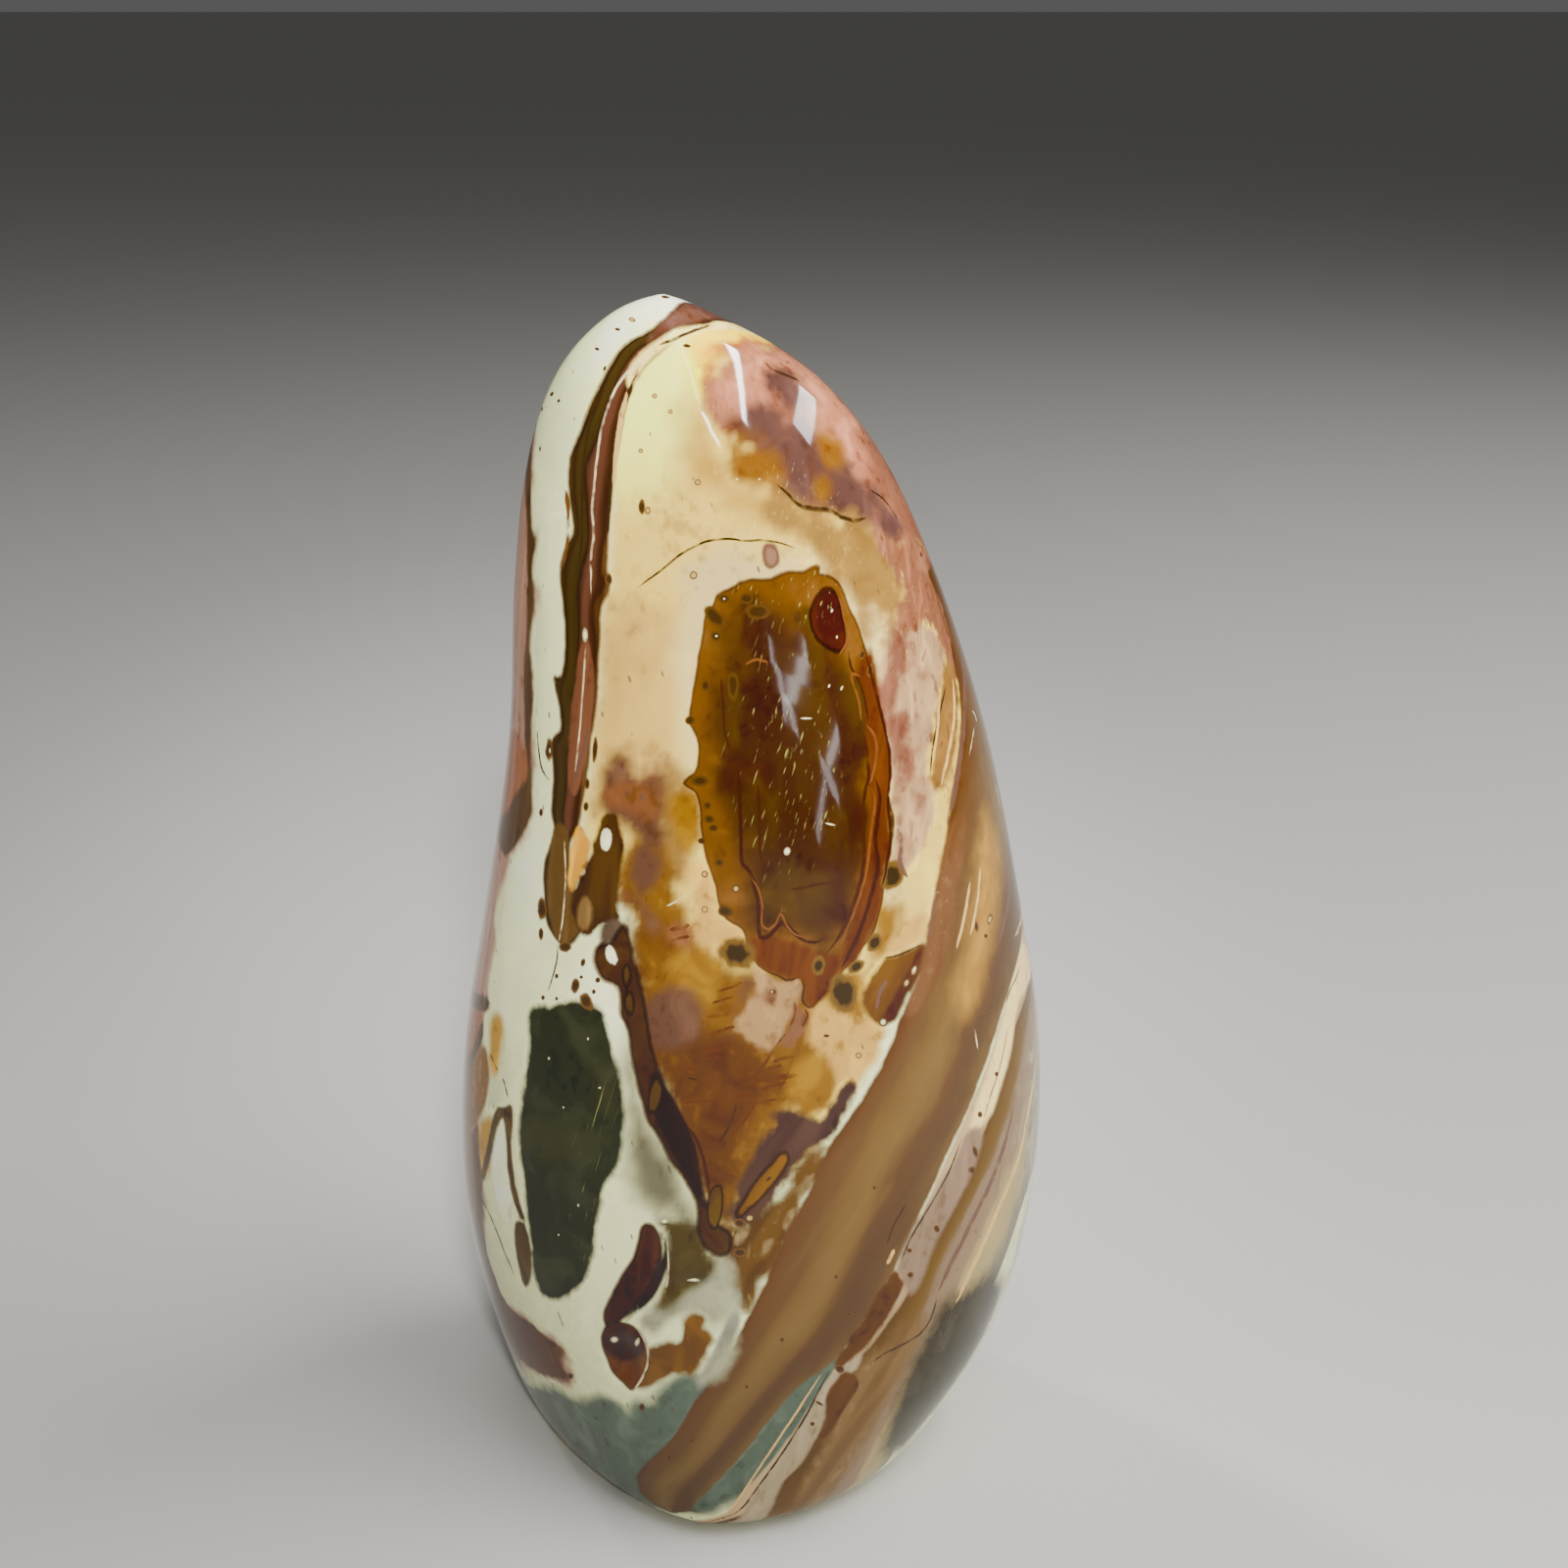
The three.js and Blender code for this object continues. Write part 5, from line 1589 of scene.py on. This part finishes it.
def layBands(tree, colour, marking, edgeGroup, rimGroup, grain, edgeNoise):
    # A marking in layers, whose colours follow one another from its first line to its last
    name, stops = marking["name"], marking["ramp"]
    edge = {"Depth": tree.read(name)["Fac"], "Noise": edgeNoise, "Ragged": marking["ragged"]}
    mask = tree.use(edgeGroup, Soft=marking["soft"], **edge)["Mask"]
    low, high = stops[0][0], stops[-1][0]
    along = tree.maths("MULTIPLY_ADD", grain, marking["wander"], tree.read(name + "Place")["Fac"])
    share = tree.maths("MULTIPLY_ADD", along, 1 / (high - low), -low / (high - low))
    stops = [((at - low) / (high - low), code) for at, code in stops]
    colour = tree.mix(mask, colour, tree.ramp(share, stops, marking["light"]))
    if "rim" in marking:
        colour = tree.use(rimGroup, Under=colour, Width=marking["rim"], **edge)["Colour"]
    return colour


def makeJasper():
    material = bpy.data.materials.new("Polished jasper")
    material.use_nodes = True
    tree = Tree(material.node_tree)
    tree.tree.nodes.clear()
    edgeGroup, rimGroup, grainGroup = makeEdgeGroup(), makeRimGroup(), makeGrainGroup()
    sheetGroup, lineGroup, spotGroup = makeSheetGroup(edgeGroup), makeLineGroup(), makeSpotGroup()
    fleckGroup = makeFleckGroup()

    def grainOf(grain):
        shape = turnAndStretch(grain["along"], grain["drawn"])
        values = {"Scale": grain["scale"], "Detail": grain.get("detail", 2), "Warp": grain.get("warp", 0)}
        return tree.use(grainGroup, **values, **shape)["Value"]

    grained = {name: grainOf(grain) for name, grain in grains.items()}
    fine = grained["fine"]
    strata = tree.add("ShaderNodeCombineXYZ", **dict(zip("XYZ", (grained[name] for name in strataGrains))))
    flow = tree.vectorMaths("DOT_PRODUCT", tree.read("strata")["Vector"], strata.outputs[0])
    noises = tree.add("ShaderNodeCombineXYZ", X=grained["broad"], Y=grained["medium"], Z=flow).outputs[0]
    coarse = tree.vectorMaths("DOT_PRODUCT", tree.read("grain")["Vector"], noises)
    shares = tree.use(makeShareGroup(), Coarse=coarse, Fine=fine)
    shares = {label.replace(" ", "_"): shares[label] for label in mottle}
    edgeNoise = tree.maths("MULTIPLY", grained["medium"], edgeGrain["medium"])
    edgeNoise = tree.maths("MULTIPLY_ADD", fine, edgeGrain["fine"], edgeNoise)

    colour = colourOf(polish["under"])
    for k, sheet in enumerate(sheets):
        group = readSheet(f"sheet{k}", sheetGroup, rimGroup if sheet.rimmed else None)
        colour = tree.use(group, Under=colour, Edge_noise=edgeNoise, **shares)["Colour"]
        for marking in sheet.layered:
            grain = grained[marking["grain"]]
            colour = layBands(tree, colour, marking, edgeGroup, rimGroup, grain, edgeNoise)

    cloudy = tree.maths("MULTIPLY_ADD", grained["medium"], polish["clouding"], grained["broad"])
    shade = tree.maths("MULTIPLY_ADD", cloudy, polish["unevenness"], 1)
    shades = tree.add("ShaderNodeCombineColor", Red=shade, Green=shade, Blue=shade).outputs[0]
    colour = tree.mix(1, colour, shades, "MULTIPLY")

    masks = []
    for along, drawn, scale, size, share in fleckKinds:
        values = {"Scale": scale, "Size": size, "Share": share, "Noise": fine}
        masks.append(tree.use(fleckGroup, **values, **turnAndStretch(along, drawn))["Mask"])
    masks.append(tree.smoothStep(grained["slant"], *smears))
    tint = tree.read("fleckTint")["Color"]
    amounts = tree.add("ShaderNodeSeparateColor", Color=tree.read("fleckAmount")["Color"]).outputs
    for amount, mask in zip(amounts, masks):
        colour = tree.mix(tree.maths("MULTIPLY", mask, amount), colour, tint)

    scratch = tree.smoothStep(grainOf(scratches), *scratches["shown"])
    where = tree.smoothStep(tree.read("scratched")["Fac"], *scratches["fading"])
    scratch = tree.maths("MULTIPLY", tree.maths("MULTIPLY", scratch, where), scratches["strength"])
    colour = tree.mix(scratch, colour, pigment(scratches["colour"], scratches["light"]))

    for count, title, reader, group in (
        (spotSheets, "spots", readSpots, spotGroup), (lineSheets, "lines", readLines, lineGroup),
    ):
        for k in range(count):
            colour = tree.use(reader(f"{title}{k}", group), Under=colour, Noise=fine)["Colour"]

    relief = tree.maths("MULTIPLY", grained["broad"], polish["waves"])
    bump = tree.add("ShaderNodeBump", Height=relief, Distance=mm)
    surface = tree.add("ShaderNodeBsdfPrincipled", Base_Color=colour, Normal=bump.outputs["Normal"])
    surface.inputs["Roughness"].default_value = polish["roughness"]
    surface.inputs["IOR"].default_value = polish["bending"]
    tree.add("ShaderNodeOutputMaterial", Surface=surface.outputs[0])
    print("material made:", len(tree.tree.nodes), "nodes")
    return material


sheets = layMarkings()
spotSheets = layFinish("spots", spotPieces())
lineSheets = layFinish("lines", linePieces())
stone.data.materials.clear()
stone.data.materials.append(makeJasper())
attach(stone, "root")
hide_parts("jasper_stone")


# The floor and the lights. Fill lights lie outside every reflection. The tubes and cards show in the polish.
studio = {
    "floor": {"colour": "#bdbbb6", "roughness": 0.7, "size": 40},
    "air": {"colour": "#ffffff", "strength": 0.10},
    "crown": (0, -0.012, 0.13),  # what the tubes face
    # name, place, aim, width, height, roll in degrees, watts, whether it shows in the polish
    "panels": [
        ("keyLight", (0.02, -0.07, 0.27), (0, 0, 0.10), 0.18, 0.18, 0, 0.30, False),
        ("ceilingLight", (0.05, 0.10, 0.80), (0, 0, 0.08), 0.7, 0.6, 0, 1.0, True),
        ("eyeCardHigh", (0.36, -0.99, 0.222), (0.005, -0.018, 0.101), 0.26, 0.020, 14, 0.20, True),
        ("eyeCardUpper", (0.27, -1.02, 0.200), (0.005, -0.018, 0.101), 0.14, 0.018, -30, 0.07, True),
        ("eyeCardSide", (0.60, -0.98, 0.160), (0.009, -0.019, 0.094), 0.14, 0.024, 20, 0.11, True),
        ("eyeCardFoot", (0.50, -0.93, 0.112), (0.008, -0.020, 0.090), 0.12, 0.022, -28, 0.07, True),
        ("eyeCardBase", (0.42, -0.95, 0.075), (0.006, -0.021, 0.086), 0.12, 0.018, 34, 0.05, True),
    ],
    # name, one end, other end, width, watts
    "tubes": [
        ("rightTube", (0.27, 0.16, 0.58), (0.377, -0.65, 0.58), 0.022, 5.0),
        ("sideTube", (0.62, 0.40, 0.62), (0.70, -0.26, 0.60), 0.075, 4.2),
        ("frontTube", (0.10, -0.82, 0.58), (0.185, -1.10, 0.58), 0.020, 1.6),
        ("frontTubeFar", (0.055, -0.25, 0.58), (0.09, -0.74, 0.58), 0.020, 0.5),
    ],
    # name, place, aim, cone in degrees, radius, watts
    "spots": [
        ("faceSpot", (0.085, -0.569, 0.453), (0, -0.015, 0.110), 18, 0.03, 26),
        ("backSpot", (-0.40, 0.50, 0.40), (0, 0.01, 0.095), 15, 0.05, 22),
    ],
}


def addLight(kind, name, place, watts, shows):
    bpy.ops.object.light_add(type=kind, location=place)
    light = bpy.context.active_object
    light.name = name
    light.data.energy = watts
    light.visible_camera = False
    light.visible_glossy = shows
    return light


def turnTo(light, aim, roll=0):
    facing = (Vector(aim) - light.location).to_track_quat("-Z", "Y").to_matrix()
    light.rotation_euler = (facing @ Matrix.Rotation(math.radians(roll), 3, "Z")).to_euler()


def turnAlong(light, start, end, aim):
    # The light's length runs from start to end, and its face looks towards the aim
    length = (end - start).normalized()
    back = light.location - aim
    back = (back - back.dot(length) * length).normalized()
    light.rotation_euler = Matrix((length.cross(back), length, back)).transposed().to_euler()


def shapeLight(light, width, height):
    light.data.shape = "RECTANGLE"
    light.data.size = width
    light.data.size_y = height


def makeStudio():
    bpy.ops.mesh.primitive_plane_add(size=studio["floor"]["size"], location=(0, 0, 0))
    floor = bpy.context.active_object
    floor.name = "paleFloor"
    material = bpy.data.materials.new("Pale floor")
    material.use_nodes = True
    surface = material.node_tree.nodes["Principled BSDF"]
    surface.inputs["Base Color"].default_value = colourOf(studio["floor"]["colour"])
    surface.inputs["Roughness"].default_value = studio["floor"]["roughness"]
    floor.data.materials.append(material)
    world = bpy.data.worlds.new("Studio air")
    world.use_nodes = True
    background = world.node_tree.nodes["Background"]
    background.inputs["Color"].default_value = colourOf(studio["air"]["colour"])
    background.inputs["Strength"].default_value = studio["air"]["strength"]
    bpy.context.scene.world = world
    for name, place, aim, width, height, roll, watts, shows in studio["panels"]:
        light = addLight("AREA", name, place, watts, shows)
        shapeLight(light, width, height)
        turnTo(light, aim, roll)
    for name, start, end, width, watts in studio["tubes"]:
        start, end = Vector(start), Vector(end)
        light = addLight("AREA", name, (start + end) / 2, watts, True)
        shapeLight(light, width, (end - start).length)
        turnAlong(light, start, end, Vector(studio["crown"]))
    for name, place, aim, cone, radius, watts in studio["spots"]:
        light = addLight("SPOT", name, place, watts, False)
        light.data.spot_size = math.radians(cone)
        light.data.spot_blend = 1.0
        light.data.shadow_soft_size = radius
        turnTo(light, aim)
    print("studio made")


makeStudio()
